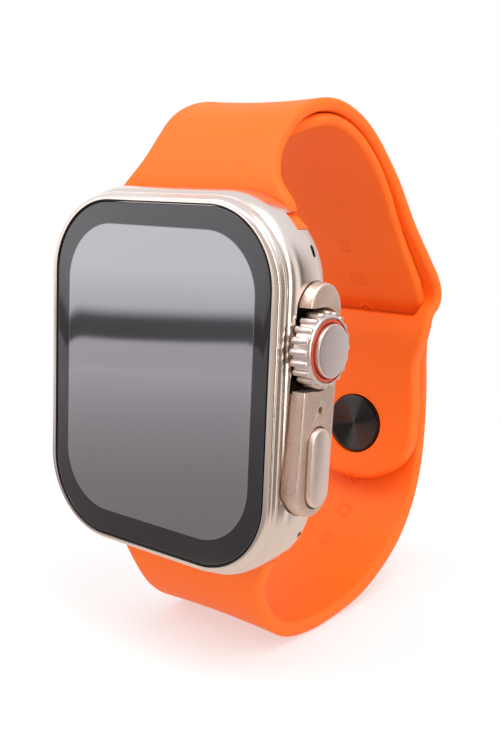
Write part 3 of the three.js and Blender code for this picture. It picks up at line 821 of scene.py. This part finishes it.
def ring_tree(name, count, radius, copied, material):
    """Copies of a mesh on a circle in the YZ plane, each turned to face outwards."""
    tree = node_tree(name, [("Count", "NodeSocketInt", count),
                            ("Radius", "NodeSocketFloat", radius)])
    sizes = tree.nodes.new("NodeGroupInput")
    count_wire = Wire(tree, sizes.outputs["Count"])
    radius_wire = Wire(tree, sizes.outputs["Radius"])
    shape = add_node(tree, "GeometryNodeObjectInfo", {}, {"Object": copied}, "Geometry")
    points = add_node(tree, "GeometryNodePoints", {}, {"Count": count_wire})
    index = add_node(tree, "GeometryNodeInputIndex")
    angle = index * (2 * math.pi) / count_wire
    offset = add_node(tree, "ShaderNodeCombineXYZ", {}, {
        "X": 0.0, "Y": angle.maths("COSINE") * radius_wire,
        "Z": angle.maths("SINE") * radius_wire})
    placed = add_node(tree, "GeometryNodeSetPosition", {},
                      {"Geometry": points, "Position": offset})
    turn = add_node(tree, "ShaderNodeCombineXYZ", {}, {"X": angle, "Y": 0.0, "Z": 0.0})
    return end_tree(tree, placed, shape, turn, material)


# %% [markdown]
# ## The crown
#
# The crown is a turned core with rounded ribs round it.  One rib is made as a short bar with
# round ends, and the node tree sets twenty of them on a circle.  The result is moved to the
# crown's axis in its mesh, and joined to the core as one piece.

# %% Crown knob
RIBS = 20
knob_low, knob_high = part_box("crown_knob")
KNOB = {"inner": knob_low.x / MM, "face": knob_high.x / MM, "radius": 4.8, "valley": 4.36,
        "bore": 1.1, "recess": 23.0}
RIB_HALF_WIDTH = 0.47
RIB_DEPTH = 0.7


def rib():
    """One bar along X with a rounded back and a rounded outer end."""
    length = KNOB["face"] - 0.22 - KNOB["inner"]
    section = [(y, z) for z, y in arc((0, -0.1), RIB_HALF_WIDTH, 0, math.pi, 10)]
    section += [(-RIB_DEPTH, -RIB_HALF_WIDTH), (-RIB_DEPTH, RIB_HALF_WIDTH)]
    rings = []
    for along, scale in ((0, 0.72), (0.08, 0.9), (0.22, 1), (length - 0.45, 1),
                         (length - 0.2, 0.93), (length - 0.06, 0.78), (length, 0.55)):
        rings.append([Vector((along, max(y, -RIB_DEPTH) * (scale if y > 0 else 1), z * scale)) * MM
                      for y, z in section])
    return skin("rib", rings)


def shift(piece, offset):
    piece.data.transform(Matrix.Translation(offset))
    return piece


def join(name, *pieces):
    """Puts several plain meshes into one."""
    whole = bmesh.new()
    for piece in pieces:
        whole.from_mesh(piece.data)
        bpy.data.objects.remove(piece)
    data = bpy.data.meshes.new(name)
    whole.to_mesh(data)
    whole.free()
    return place_object(name, data)


one_rib = rib()
rib_radius = (KNOB["radius"] - RIB_HALF_WIDTH + 0.1) * MM
ribs = run_tree("ribs", ring_tree("ribs round the crown", RIBS, rib_radius, one_rib, SATIN),
                {"Count": RIBS, "Radius": rib_radius})
bpy.data.objects.remove(one_rib)
shift(ribs, at(KNOB["inner"], CROWN_DEPTH, CROWN_Z))

ring_low, ring_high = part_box("crown_ring")
RING_OUTER = (ring_high.z - ring_low.z) / 2 / MM
core_profile = [(KNOB["bore"], KNOB["inner"]), (3.9, KNOB["inner"]), (4.2, KNOB["inner"] + 0.12)]
core_profile += [(KNOB["valley"], KNOB["inner"] + 0.35), (KNOB["valley"], KNOB["face"] - 0.42)]
core_profile += [tuple(p) for p in smooth_line(
    [(KNOB["valley"] - 0.01, KNOB["face"] - 0.4), (4.3, KNOB["face"] - 0.2),
     (4.12, KNOB["face"] - 0.03), (4.0, KNOB["face"])], 5)]
core_profile += [(RING_OUTER + 0.12, KNOB["face"]), (RING_OUTER + 0.1, KNOB["face"] - 0.05)]
core_profile += [(RING_OUTER + 0.1, KNOB["recess"]), (KNOB["bore"], KNOB["recess"]),
                 (KNOB["bore"], KNOB["inner"])]
core = turned("crown core", core_profile, along_x(CROWN_DEPTH, CROWN_Z), 120)
fit(join("crown", core, ribs), "crown_knob", SATIN, 30)

# %% Crown ring and cap
RING_INNER = 3.4
ring_profile = [(RING_INNER, 23.1), (RING_OUTER, 23.1), (RING_OUTER, 23.6),
                (RING_OUTER - 0.08, 23.68), (RING_INNER + 0.08, 23.68), (RING_INNER, 23.6),
                (RING_INNER, 23.1)]
fit(turned("red_ring", ring_profile, along_x(CROWN_DEPTH, CROWN_Z), 120),
    "crown_ring", RED_LACQUER)

cap_low, cap_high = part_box("crown_cap")
cap_base, cap_face = cap_low.x / MM, cap_high.x / MM
CAP_R = (cap_high.z - cap_low.z) / 2 / MM
cap_profile = [(0, cap_base), (CAP_R, cap_base), (CAP_R, cap_face - 0.24)]
cap_profile += [(CAP_R - 0.22 * (1 - math.cos(t)), cap_face - 0.24 + 0.22 * math.sin(t))
                for t in [math.pi / 2 * i / 5 for i in range(1, 6)]]
cap_profile += [(CAP_R - 0.5, cap_face), (0, cap_face)]
fit(turned("crown_cap_turned", cap_profile, along_x(CROWN_DEPTH, CROWN_Z), 120), "crown_cap", SATIN)

# %% [markdown]
# ## Guard and buttons
#
# The guard is a flat-topped boss with two round ends of different size.  It is scooped out
# round the crown, and the button sits in its lower half.  The scoops leave sharp edges, so a
# small bevel breaks them all at the end.

# %% Guard
guard_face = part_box("side_guard")[1].x / MM
GUARD_LEVELS = [(0, GUARD_FLOOR), (0, guard_face - 0.4), (-0.06, guard_face - 0.2),
                (-0.2, guard_face - 0.06), (-0.38, guard_face)]
guard = skin("guard", [[at(x, depth, z) for depth, z in two_ends(GUARD["top"], GUARD["low"], grow)]
                       for grow, x in GUARD_LEVELS])
POCKET_R = 5.15
POCKET_LOW = 5.0
POCKET_HIGH = 5.1
POCKET_FLOOR = 20.6
cut(guard,
    rod_x("crown pocket", CROWN_DEPTH, CROWN_Z, POCKET_R, POCKET_FLOOR, 25, 128),
    slab_x("front pocket", [(0, CROWN_Z - POCKET_LOW), (CROWN_DEPTH, CROWN_Z - POCKET_LOW),
                            (CROWN_DEPTH, CROWN_Z + POCKET_HIGH), (0, CROWN_Z + POCKET_HIGH)],
           POCKET_FLOOR, 25),
    rod_x("stem hole", CROWN_DEPTH, CROWN_Z, 2.2, 19, 21),
    slab_x("button opening", upright(*BUTTON, 5.25, 2.3), 19, 25),
    rod_x("sound hole", 6.1, -1.25, 0.45, 19, 25))
ease(guard, 0.07)
# The guard's finish has painted shade at the floor of the crown pocket.
fit(guard, "side_guard", SHADED_GUARD_METAL, 40)


# %% Buttons
PLUNGER_END = 17


def button_skin(name, node, side, half, radius, tall):
    """A rounded key, this tall above its base, on the plunger that reaches its switch."""
    depth, z = middle_of(node)[1:]
    low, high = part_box(node)
    face = (high.x if side > 0 else -low.x) / MM
    base = face - tall
    levels = [(0.08, base), (0, base + 0.08), (0, face - 0.5), (0.06, face - 0.25),
              (0.2, face - 0.08), (0.42, face)]
    rings = [[at(side * x, d, zz) for d, zz in upright(depth, z, half - inset, radius - inset)]
             for inset, x in levels]
    body = skin(name, rings)
    ends = sorted((side * PLUNGER_END, side * (base + 0.3)))
    return cut(body, rod_x("plunger", depth, z, 0.7, *ends), operation="UNION")


fit(button_skin("button", "side_button", 1, 5.05, 2.1, 2.5), "side_button", BLASTED_KEY, 40)
fit(button_skin("left_button", "action_button", -1, 5.6, 1.7, 1.7), "action_button",
    BLASTED_KEY, 40)

# %% Band releases
for name in ("upper", "lower"):
    node = f"{name}_release"
    x, _, z = middle_of(node)
    front, back = depth_of(node)
    levels = [(0, front), (0, back - 0.2), (0.06, back - 0.06), (0.2, back)]
    rings = [[at(a, depth, b) for a, b in rounded(2.6 - inset, 0.7 - inset, 0.699 - inset,
                                                  14, 6, x, z)]
             for inset, depth in levels]
    fit(skin(f"{name}_release_rounded", rings), node, BLASTED, 40)

# %% [markdown]
# ## The band
#
# The band is soft silicone, so it has no hard edge anywhere.  Each half is one skin drawn
# along a route, with a section whose sides are round and whose face sinks slightly across
# its width, as a bent strip does.  The route points are those of the frame's straps.

# %% Routes of the two halves
UPPER = [
    (7.3, 22.6), (7.35, 24.9), (7.8, 26.7), (8.8, 28.7), (11, 32.1), (14.2, 35.4), (18.8, 37.4),
    (24.4, 37.9), (30.4, 36.3), (35.8, 33), (40.7, 28.2), (45.5, 21.6), (50.3, 16.1),
    (53.4, 12.4), (54.2, 9.6), (53.3, 7.6), (51.6, 6.2), (51.3, 4), (51.9, 1), (52.6, -3),
    (53.3, -9), (53.2, -14), (52.6, -18.5), (51.5, -23.2)]
upper_route = Route(smooth_line(UPPER))

BAND_THICK = 1.8
TAB_THICK = 3.0
TAIL_GAP = 0.3
TAIL_REACH = 0.52
TAIL_STEPS = 12
tail_start = upper_route.where(13.6)
tail = []
for step in range(TAIL_STEPS + 1):
    u = tail_start - TAIL_REACH * step / TAIL_STEPS
    tail.append(upper_route.at(u) - upper_route.out(u, 1) * (BAND_THICK + TAIL_GAP))

LOWER = [
    (7.3, -22.6), (7.35, -24.9), (7.8, -27.4), (9.2, -30.8), (12.3, -35), (16.9, -38),
    (23.4, -39.2), (31, -38.9), (38, -37.7), (44.4, -34.9), (49.4, -31.2), (53, -26.4),
    (55.3, -20.2), (56, -13), (55.6, -6), (54.9, -1), (54.7, 3), (54.1, 6.6), (52.6, 9.5)]
lower_route = Route(smooth_line(LOWER + [tuple(p) for p in tail]))
print(f"upper half {upper_route.length:.0f} mm, lower half {lower_route.length:.0f} mm")


# %% Strap skin
EDGE_R = 0.78


def strap_section(half, thick, sink):
    """Points (x, out) round a section: flat faces, round sides and a face that sinks."""
    radius = min(EDGE_R, thick / 2 - 0.01)
    corners = [(half - radius, -radius, 0), (-half + radius, -radius, 1),
               (-half + radius, -thick + radius, 2), (half - radius, -thick + radius, 3)]
    points = []
    for a, b, turn in corners:
        bend = arc((a, b), radius, turn * math.pi / 2, (turn + 1) * math.pi / 2, 5)
        if points:
            points += between(points[-1], bend[0], 14 if turn in (1, 3) else 2)
        points += bend
    points += between(points[-1], points[0], 2)
    return [(a, b - sink * max(0.0, 1 - (a / half) ** 2)) for a, b in points]


def strap(name, route, side, steps, half, thick, sink):
    rings = []
    for i in range(steps + 1):
        u = i / steps
        middle = route.at(u)
        out = route.out(u, side)
        ring = []
        for a, b in strap_section(half(u), thick(u), sink(u)):
            spot = middle + out * b
            ring.append(at(a, spot.x, spot.y))
        rings.append(ring)
    return skin(name, rings)


def round_end(u, start, half):
    """The half width near a rounded tip."""
    if u <= start:
        return half
    t = (u - start) / (1 - start)
    return max(half * math.sqrt(max(0.0, 1 - t * t)), 0.9)


def tip_thick(u, thick):
    """Eases the last bit of a tip so that its edge is round."""
    left = (1 - u) / 0.012
    return thick if left >= 1 else thick * (0.6 + 0.4 * math.sqrt(max(0.0, 1 - (1 - left) ** 2)))


# %% Width and thickness along each half
LUG_HALF = 14.5
TAIL_HALF = 10.8
tab_at = upper_route.where(3)
tip_at = upper_route.where(-14.5)


def upper_half(u):
    flat = softened(u, [
        (0, 15.6), (0.016, 14.9), (0.032, 13.3), (0.057, 11.8), (0.09, 11.1), (0.4, 11.1),
        (0.57, 12.4), (0.68, 13.2), (0.73, 13.2), (0.775, 11.3), (0.79, 11)], 0.016)
    return round_end(u, tip_at, flat)


def upper_thick(u):
    return tip_thick(u, eased_steps(u, [
        (0, 2.3), (0.02, 2.3), (0.1, BAND_THICK), (0.7, BAND_THICK), (tab_at, TAB_THICK)]))


slot_at = lower_route.where(6)
LOWER_TIP = 0.945


def lower_half(u):
    flat = softened(u, [
        (0, LUG_HALF), (0.01, LUG_HALF), (0.028, 13.1), (0.046, 12.1), (0.07, 11.8), (0.3, 11.1),
        (0.5, TAIL_HALF)], 0.012)
    return round_end(u, LOWER_TIP, flat)


def lower_thick(u):
    return tip_thick(u, eased_steps(u, [(0, 2.3), (0.5, 2.3), (slot_at, 2.1), (0.75, 1.7)]))


def upper_sink(u):
    return eased_steps(u, [(0, 0), (0.06, 0.1), (0.2, 0.45), (0.4, 0.3), (0.6, 0)])


def lower_sink(u):
    return eased_steps(u, [(0, 0), (0.05, 0.1), (0.14, 0.4), (0.3, 0.25), (0.42, 0)])


# %% [markdown]
# The end of each half is a hooked bar that slides into the case.  The slot, the latch pocket
# and the holes are cut after the skin is made.  The holes stop short of the wrist side, so
# the inside of the band stays smooth.

# %% Strap ends and openings
LUG_REACH = 18.0
LUG_SET_IN = 0.7


def lug(side):
    """The hooked bar, as wide as the case where it sits, so that its ends follow the corners."""
    corners = [(7.3, 24.2), (7.3, 22), (5.7, 22), (5.7, 20.46), (9.6, 20.46), (9.6, 24.2)]
    bar = slab_x("lug", [(depth, side * z) for depth, z in corners], -LUG_REACH, LUG_REACH)
    outline = rounded(CASE["half_x"] - LUG_SET_IN, CASE["half_z"] - LUG_SET_IN,
                      CASE["corner"] - LUG_SET_IN, 30, 4)
    cut(bar, slab_y("case outline", outline, 0, 12), operation="INTERSECT")
    return ease(bar, 0.3, 60, 3)


def latch_room(side):
    low, high = sorted((side * 20, side * 22.25))
    return slab_y("latch room", [(3.45, low), (3.45, high), (-3.45, high), (-3.45, low)], 8, 10.2)


PIN_Z = middle_of("pin_disc")[2]
disc_front, disc_back = depth_of("pin_disc")
SLOT = {"half": 11.0, "low": 6.2, "high": 9.2}
REAR_FRONT, REAR_BACK = 44, 60
DISC_POCKET_R = 5.1
HOLE_R = 1.4

upper = strap("upper_band", upper_route, 1, 230, upper_half, upper_thick, upper_sink)
cut(upper, lug(1), operation="UNION")
slot_middle = (SLOT["low"] + SLOT["high"]) / 2
slot_half = (SLOT["high"] - SLOT["low"]) / 2
cut(upper,
    slab_y("slot", rounded(SLOT["half"], slot_half, 1.1, 8, 8, 0, slot_middle),
           REAR_FRONT, REAR_BACK),
    latch_room(1),
    rod_y("pin hole", 0, PIN_Z, HOLE_R, REAR_FRONT, REAR_BACK),
    rod_y("disc pocket", 0, PIN_Z, DISC_POCKET_R, REAR_FRONT, disc_back + 0.1, 96))
fit(upper, "upper_strap", SILICONE, 50)

HOLE_SKIN = 0.5
HOLE_PITCH = 7.03
# The height of one hole in each row, and how many steps along the band the row's holes are.
HOLE_ROWS = [(-24.1, (0, -1, -2)), (12.85, (-1, 0, 1))]
pin_at = lower_route.where(PIN_Z)
hole_step = HOLE_PITCH / lower_route.length
hole_places = [lower_route.where(z) + hole_step * k for z, steps in HOLE_ROWS for k in steps]


def hole(u):
    out = lower_route.out(u, -1)
    reach = 6 if u == pin_at else lower_thick(u) - HOLE_SKIN
    middle = lower_route.at(u)
    turn = Vector((0, 0, 1)).rotation_difference(Vector((0, out.x, out.y)))

    def place(a, along, b):
        spot = turn @ Vector((a, b, along))
        return at(spot.x, middle.x + spot.y, middle.y + spot.z)

    return turned("hole", [(0, -reach), (HOLE_R, -reach), (HOLE_R, 1), (0, 1)], place, 40)


lower = strap("lower_band", lower_route, -1, 300, lower_half, lower_thick, lower_sink)
cut(lower, lug(-1), operation="UNION")
cut(lower, latch_room(-1), *[hole(u) for u in [pin_at] + hole_places])
fit(lower, "lower_strap", SILICONE, 50)

# %% [markdown]
# ## Ring marks on the wrist side
#
# Each blind hole leaves a faint ring on the inside of the band.  The marks follow the band,
# so a node tree lays fine rings at even steps along the band's own inner line.

# %% Ring marks
MARK = {"radius": 1.2, "wire": 0.26, "proud": 0.22}


def marks_tree(material):
    tree = node_tree("marks along the band", [
        ("Ring Radius", "NodeSocketFloat", 0.001), ("Wire Radius", "NodeSocketFloat", 0.0001)])
    tree.interface.new_socket("Line", in_out="INPUT", socket_type="NodeSocketObject")
    sizes = tree.nodes.new("NodeGroupInput")
    line = add_node(tree, "GeometryNodeObjectInfo", {},
                    {"Object": Wire(tree, sizes.outputs["Line"])}, "Geometry")
    spaced = add_node(tree, "GeometryNodeMeshToPoints", {}, {"Mesh": line})
    ring = add_node(tree, "GeometryNodeCurvePrimitiveCircle", {}, {
        "Resolution": 40, "Radius": Wire(tree, sizes.outputs["Ring Radius"])})
    wire = add_node(tree, "GeometryNodeCurvePrimitiveCircle", {}, {
        "Resolution": 8, "Radius": Wire(tree, sizes.outputs["Wire Radius"])})
    mark = add_node(tree, "GeometryNodeCurveToMesh", {}, {"Curve": ring, "Profile Curve": wire})
    facing = add_node(tree, "GeometryNodeInputNamedAttribute", {"data_type": "FLOAT_VECTOR"},
                      {"Name": "facing"})
    turn = add_node(tree, "FunctionNodeAlignRotationToVector", {"axis": "Z"}, {"Vector": facing})
    return end_tree(tree, spaced, mark, turn, material)


marks = []
for u in hole_places:
    out = lower_route.out(u, -1)
    spot = lower_route.at(u) - out * (lower_thick(u) + lower_sink(u) + MARK["proud"] - MARK["wire"])
    marks.append((at(0, spot.x, spot.y), (0, out.x, out.y)))
line = flat_piece("mark places", [place for place, _ in marks], [])
facing = line.data.attributes.new("facing", "FLOAT_VECTOR", "POINT")
for index, (_, direction) in enumerate(marks):
    facing.data[index].vector = direction
rings = run_tree("ring_marks", marks_tree(SILICONE), {
    "Line": line, "Ring Radius": MARK["radius"] * MM, "Wire Radius": MARK["wire"] * MM})
bpy.data.objects.remove(line)
shade(rings)
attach(rings, "watch")
print("ring marks:", len(rings.data.polygons), "faces")

# %% [markdown]
# ## Pin and disc
#
# A black disc is riveted to the tab, and its pin holds the lower half.  The disc's face is
# turned on a lathe: the fine rings it leaves are real steps here, because they are what
# spreads the highlight into two opposite fans.

# %% Disc and pin
DISC_R = half_size("pin_disc").z
TURNING_PITCH = 0.16
TURNING_STEP = 0.035
disc_profile = [(0, disc_front)]
radius = TURNING_PITCH
while radius < DISC_R - 0.3:
    disc_profile += [(radius, disc_front), (radius + TURNING_PITCH / 2, disc_front + TURNING_STEP)]
    radius += TURNING_PITCH
disc_profile += [(DISC_R - 0.2, disc_front + 0.02), (DISC_R - 0.06, disc_front + 0.08),
                 (DISC_R, disc_front + 0.22), (DISC_R, disc_back), (0, disc_back)]
fit(turned("disc", disc_profile, along_y(0, PIN_Z), 128), "pin_disc", BLACK_METAL, 40)

stud_front, stud_back = depth_of("pin_stud")
STUD_R = half_size("pin_stud").z
stud_profile = [(0, stud_front), (1.1, stud_front), (1.1, stud_back - 1), (STUD_R, stud_back - 1),
                (STUD_R, stud_back - 0.4), (STUD_R - 0.1, stud_back - 0.2),
                (STUD_R - 0.4, stud_back), (0, stud_back)]
fit(turned("pin", stud_profile, along_y(0, PIN_Z), 64), "pin_stud", BLACK_METAL)

# %% [markdown]
# ## Screw heads
#
# The recess is a six-lobed hole: a centre bore and six small bores on a circle.

# %% Rear screws
LOBES = 6
LOBE_RING = 0.32
LOBE_DEPTH = 0.25
for index, (x, _, z) in enumerate(screws, 1):
    node = f"rear_screw_{index}"
    front, back = depth_of(node)
    profile = [(0, front), (0.5, front), (0.5, front + 0.55), (0.9, front + 0.55),
               (0.9, back - 0.08), (0.82, back), (0, back)]
    screw = turned(f"lobed_screw_{index}", profile, along_y(x, z), 48)
    lobe = turned("lobe", [(0, 0), (0.09, 0), (0.09, 0.6), (0, 0.6)],
                  lambda a, along, b: Vector((along, a, b)) * MM, 12)
    tree = ring_tree("lobes of the recess", LOBES, LOBE_RING * MM, lobe, STEEL)
    lobes = run_tree("lobes", tree, {"Count": LOBES, "Radius": LOBE_RING * MM})
    bpy.data.objects.remove(lobe)
    lobes.data.transform(Matrix.Rotation(math.pi / 2, 4, "Z"))
    lobes.data.transform(Matrix.Translation(at(x, back - LOBE_DEPTH, z)))
    cut(screw, rod_y("recess", x, z, LOBE_RING, back - LOBE_DEPTH, 12), lobes)
    fit(screw, node, STEEL)

# %% [markdown]
# ## Finishes for the pieces inside
#
# What the case hides keeps the frame's own plain shape and only gets its finish.

# %% Inner pieces
for node, material in {
    "display_panel": INNER, "display_frame": INNER, "main_board": BOARD, "battery": POUCH,
    "antenna": COPPER, "vibration_motor": STEEL, "speaker": INNER, "speaker_mesh": STEEL,
    "microphone": INNER, "rear_seal": SEAL, "sensor_board": BOARD, "charging_coil": COPPER,
    "coil_shield": FERRITE, "crown_stem": STEEL, "crown_bush": STEEL, "crown_seal": SEAL,
    "crown_pusher": INNER, "crown_switch": INNER, "side_button_switch": INNER,
    "action_button_switch": INNER, "upper_latch": STEEL, "upper_latch_spring": STEEL,
    "lower_latch": STEEL, "lower_latch_spring": STEEL,
}.items():
    dress(node, material)

# %% [markdown]
# ## Floor and light
#
# Polished metal is only as good as what it mirrors.  The floor is pale and plain and fades
# into the white surroundings.  The surroundings are white for the camera and for the soft
# band.  Mirror images see neither of them, but a room with bright and dark walls.

# %% Floor
floor_z = cad_low.z - 0.0001
FLOOR_R = 2.5
FLOOR_FADE = {"middle_y": 20.0, "from": 20.0, "over": 150.0, "least": 0.5}
FLOOR_SIDES = 96
floor_turns = [2 * math.pi * i / FLOOR_SIDES for i in range(FLOOR_SIDES)]
floor = flat_piece("floor", [
    (math.cos(turn) * FLOOR_R, math.sin(turn) * FLOOR_R, floor_z) for turn in floor_turns],
    [list(range(FLOOR_SIDES))])
floor_paint, tree, shader = start_material("pale floor", {
    "Base Color": (0.92, 0.92, 0.92, 1), "Roughness": 0.8, "Specular IOR Level": 0.1})
(floor_x, floor_y, _), _ = place_of(tree)
beside = floor_y - FLOOR_FADE["middle_y"]
reach = (floor_x * floor_x + beside * beside).maths("SQRT")
fade = ((reach - FLOOR_FADE["from"]) / FLOOR_FADE["over"]).clamp(FLOOR_FADE["least"])
glow = tree.nodes.new("ShaderNodeEmission")
blend = tree.nodes.new("ShaderNodeMixShader")
tree.links.new(fade.socket, blend.inputs[0])
tree.links.new(shader.outputs[0], blend.inputs[1])
tree.links.new(glow.outputs[0], blend.inputs[2])
tree.links.new(blend.outputs[0], tree.nodes["Material Output"].inputs[0])
floor.data.materials.append(floor_paint)
floor.visible_glossy = False

# %% Surroundings
ROOM = [
    (0.0, (0.6, 0.55, 0.53)), (0.06, (1.1, 1.08, 1.04)), (0.2, (1.1, 1.08, 1.04)),
    (0.27, (0.9, 0.86, 0.82)), (0.34, (1.1, 1.07, 1.03)), (0.377, (1.1, 1.07, 1.03)),
    (0.395, (0.62, 0.53, 0.46)), (0.47, (0.58, 0.5, 0.43)), (0.6, (0.5, 0.41, 0.34)),
    (0.64, (0.08, 0.05, 0.033)), (0.73, (0.12, 0.085, 0.06)), (0.785, (0.24, 0.19, 0.15)),
    (0.806, (1.1, 1.06, 1.01)), (0.838, (1.1, 1.06, 1.01)), (0.85, (0.07, 0.05, 0.038)),
    (0.885, (0.09, 0.068, 0.055)), (0.905, (0.75, 0.71, 0.71)), (0.95, (0.9, 0.83, 0.8)),
    (1.0, (0.6, 0.55, 0.53))]
LOW_WALLS = (0.8, 0.7, 0.63)
CEILING = (0.85, 0.85, 0.87)
SOFT_FILL = (0.86, 0.86, 0.86)
WALL = {"top": 0.35, "foot": 0.3, "fade": 0.3}
world = bpy.data.worlds.new("studio")
bpy.context.scene.world = world
world.use_nodes = True
tree = world.node_tree
tree.nodes.clear()
direction = add_node(tree, "ShaderNodeTexCoord", output="Generated")
x, y, z = [add_node(tree, "ShaderNodeSeparateXYZ", {}, {0: direction}, output=i)
           for i in range(3)]
turn = x.maths("ARCTAN2", y * -1) / (2 * math.pi) + 0.5
walls = add_node(tree, "ShaderNodeValToRGB", {"stops": ROOM}, {0: turn})
height = ((z - WALL["top"]) / WALL["fade"]).clamp()
depth = ((z * -1 - WALL["foot"]) / WALL["fade"]).clamp()
mirrored = mix_colour(height, mix_colour(depth, walls, LOW_WALLS), CEILING)
ray = tree.nodes.new("ShaderNodeLightPath")
glossy = Wire(tree, ray.outputs["Is Glossy Ray"])
camera_ray = Wire(tree, ray.outputs["Is Camera Ray"])
seen = mix_colour(glossy, SOFT_FILL, mirrored)
shown = mix_colour(camera_ray, seen, (1.0, 1.0, 1.0))
background = tree.nodes.new("ShaderNodeBackground")
tree.links.new(shown.socket, background.inputs[0])
world_out = tree.nodes.new("ShaderNodeOutputWorld")
tree.links.new(background.outputs[0], world_out.inputs[0])


# %% Lamps
LAMPS_AIM = (0, 0.012, 0)


def lamp(name, place, size, power, colour=(1, 1, 1), aim=LAMPS_AIM):
    data = bpy.data.lights.new(name, "AREA")
    data.shape = "RECTANGLE"
    data.size, data.size_y = size
    data.energy = power
    data.color = colour
    light = place_object(name, data)
    light.location = place
    light.rotation_euler = (Vector(aim) - Vector(place)).to_track_quat("-Z", "Y").to_euler()
    return light


lamp("key", (-0.22, -0.30, 0.46), (0.30, 0.30), 1.0)
lamp("right strip", (0.50, -0.16, 0.12), (0.12, 0.5), 0.9, (1, 0.97, 0.95))
lamp("inside fill", (0.12, -0.06, 0.30), (0.2, 0.2), 0.45, aim=(0, 0.03, -0.01))

# %% [markdown]
# The glass mirrors what stands in front of it on the far side from the camera.  A bent card
# there, one leaf upright and one lying on the floor, gives it a pale upper part, one dark
# line and a dim lower part.  Only mirror images see the card.

# %% Card for the glass
CARD = {"distance": 0.24, "left": -0.092, "right": 0.066, "high": 0.12, "lift": 0.0005,
        "near": 0.038}
TOWARDS = Vector((-0.617, -0.787, 0))
ACROSS = Vector((0.787, -0.617, 0))
CARD_FOOT = floor_z + CARD["lift"]


def card(name, corners, stops, level_of):
    """A glowing card that only mirror images see; level_of turns its place into 0 to 1."""
    leaf = flat_piece(name, corners, [(0, 1, 2, 3)])
    paint = bpy.data.materials.new(name)
    paint.use_nodes = True
    tree = paint.node_tree
    shades = add_node(tree, "ShaderNodeValToRGB", {"stops": stops},
                      {0: level_of(*place_of(tree)[0])})
    glow = tree.nodes.new("ShaderNodeEmission")
    tree.links.new(shades.socket, glow.inputs[0])
    tree.links.new(glow.outputs[0], tree.nodes["Material Output"].inputs[0])
    leaf.data.materials.append(paint)
    leaf.visible_camera = False
    leaf.visible_diffuse = False
    leaf.visible_shadow = False
    leaf.visible_transmission = False
    return leaf


UPRIGHT_STOPS = [
    (0.0, (0.72, 0.70, 0.74)), (0.08, (0.76, 0.74, 0.78)), (0.092, (0.03, 0.028, 0.032)),
    (0.15, (0.05, 0.047, 0.053)), (0.185, (0.95, 0.94, 0.98)), (0.3, (1.25, 1.25, 1.3)),
    (1.0, (1.4, 1.4, 1.46))]
LYING_STOPS = [(0.0, (0.26, 0.235, 0.24)), (0.35, (0.38, 0.35, 0.36)), (1.0, (0.8, 0.77, 0.8))]
card_left = ACROSS * CARD["left"]
card_right = ACROSS * CARD["right"]
foot = TOWARDS * CARD["distance"] + Vector((0, 0, CARD_FOOT))
top = foot + Vector((0, 0, CARD["high"] - CARD_FOOT))
near = TOWARDS * CARD["near"] + Vector((0, 0, CARD_FOOT))
card("upright_card",
     (foot + card_left, foot + card_right, top + card_right, top + card_left), UPRIGHT_STOPS,
     lambda x, y, z: (z / 1000 - CARD_FOOT) / (CARD["high"] - CARD_FOOT))
card("lying_card",
     (near + card_left, near + card_right, foot + card_right, foot + card_left), LYING_STOPS,
     lambda x, y, z: (x * TOWARDS.x + y * TOWARDS.y) / (1000 * CARD["distance"]))

# %% [markdown]
# ## Camera
#
# The camera stands close by with a normal lens, so the near side of the case looks clearly
# larger than the far side.  It is tipped very slightly.

# %% Camera
VIEW = {"azimuth": 38.13, "elevation": 9.85, "roll": 2.34, "distance": 120.0,
        "aim": (16.12, 0.0, 2.92), "lens": 47.74}
azimuth, elevation, roll = (math.radians(VIEW[key]) for key in ("azimuth", "elevation", "roll"))
back = Vector((math.sin(azimuth) * math.cos(elevation), -math.cos(azimuth) * math.cos(elevation),
               math.sin(elevation)))
level_right = Vector((math.cos(azimuth), math.sin(azimuth), 0))
level_up = back.cross(level_right)
right = level_right * math.cos(roll) + level_up * math.sin(roll)
up = level_up * math.cos(roll) - level_right * math.sin(roll)
camera_data = bpy.data.cameras.new("camera")
camera_data.lens = VIEW["lens"]
camera_data.clip_start = 0.005
camera = place_object("camera", camera_data)
camera.matrix_world = (Matrix.Translation(at(*VIEW["aim"]) + back * VIEW["distance"] * MM)
                       @ Matrix((right, up, back)).transposed().to_4x4())
bpy.context.scene.camera = camera
bpy.context.scene.view_settings.view_transform = "Standard"
print("camera at", tuple(round(v, 4) for v in camera.matrix_world.translation))
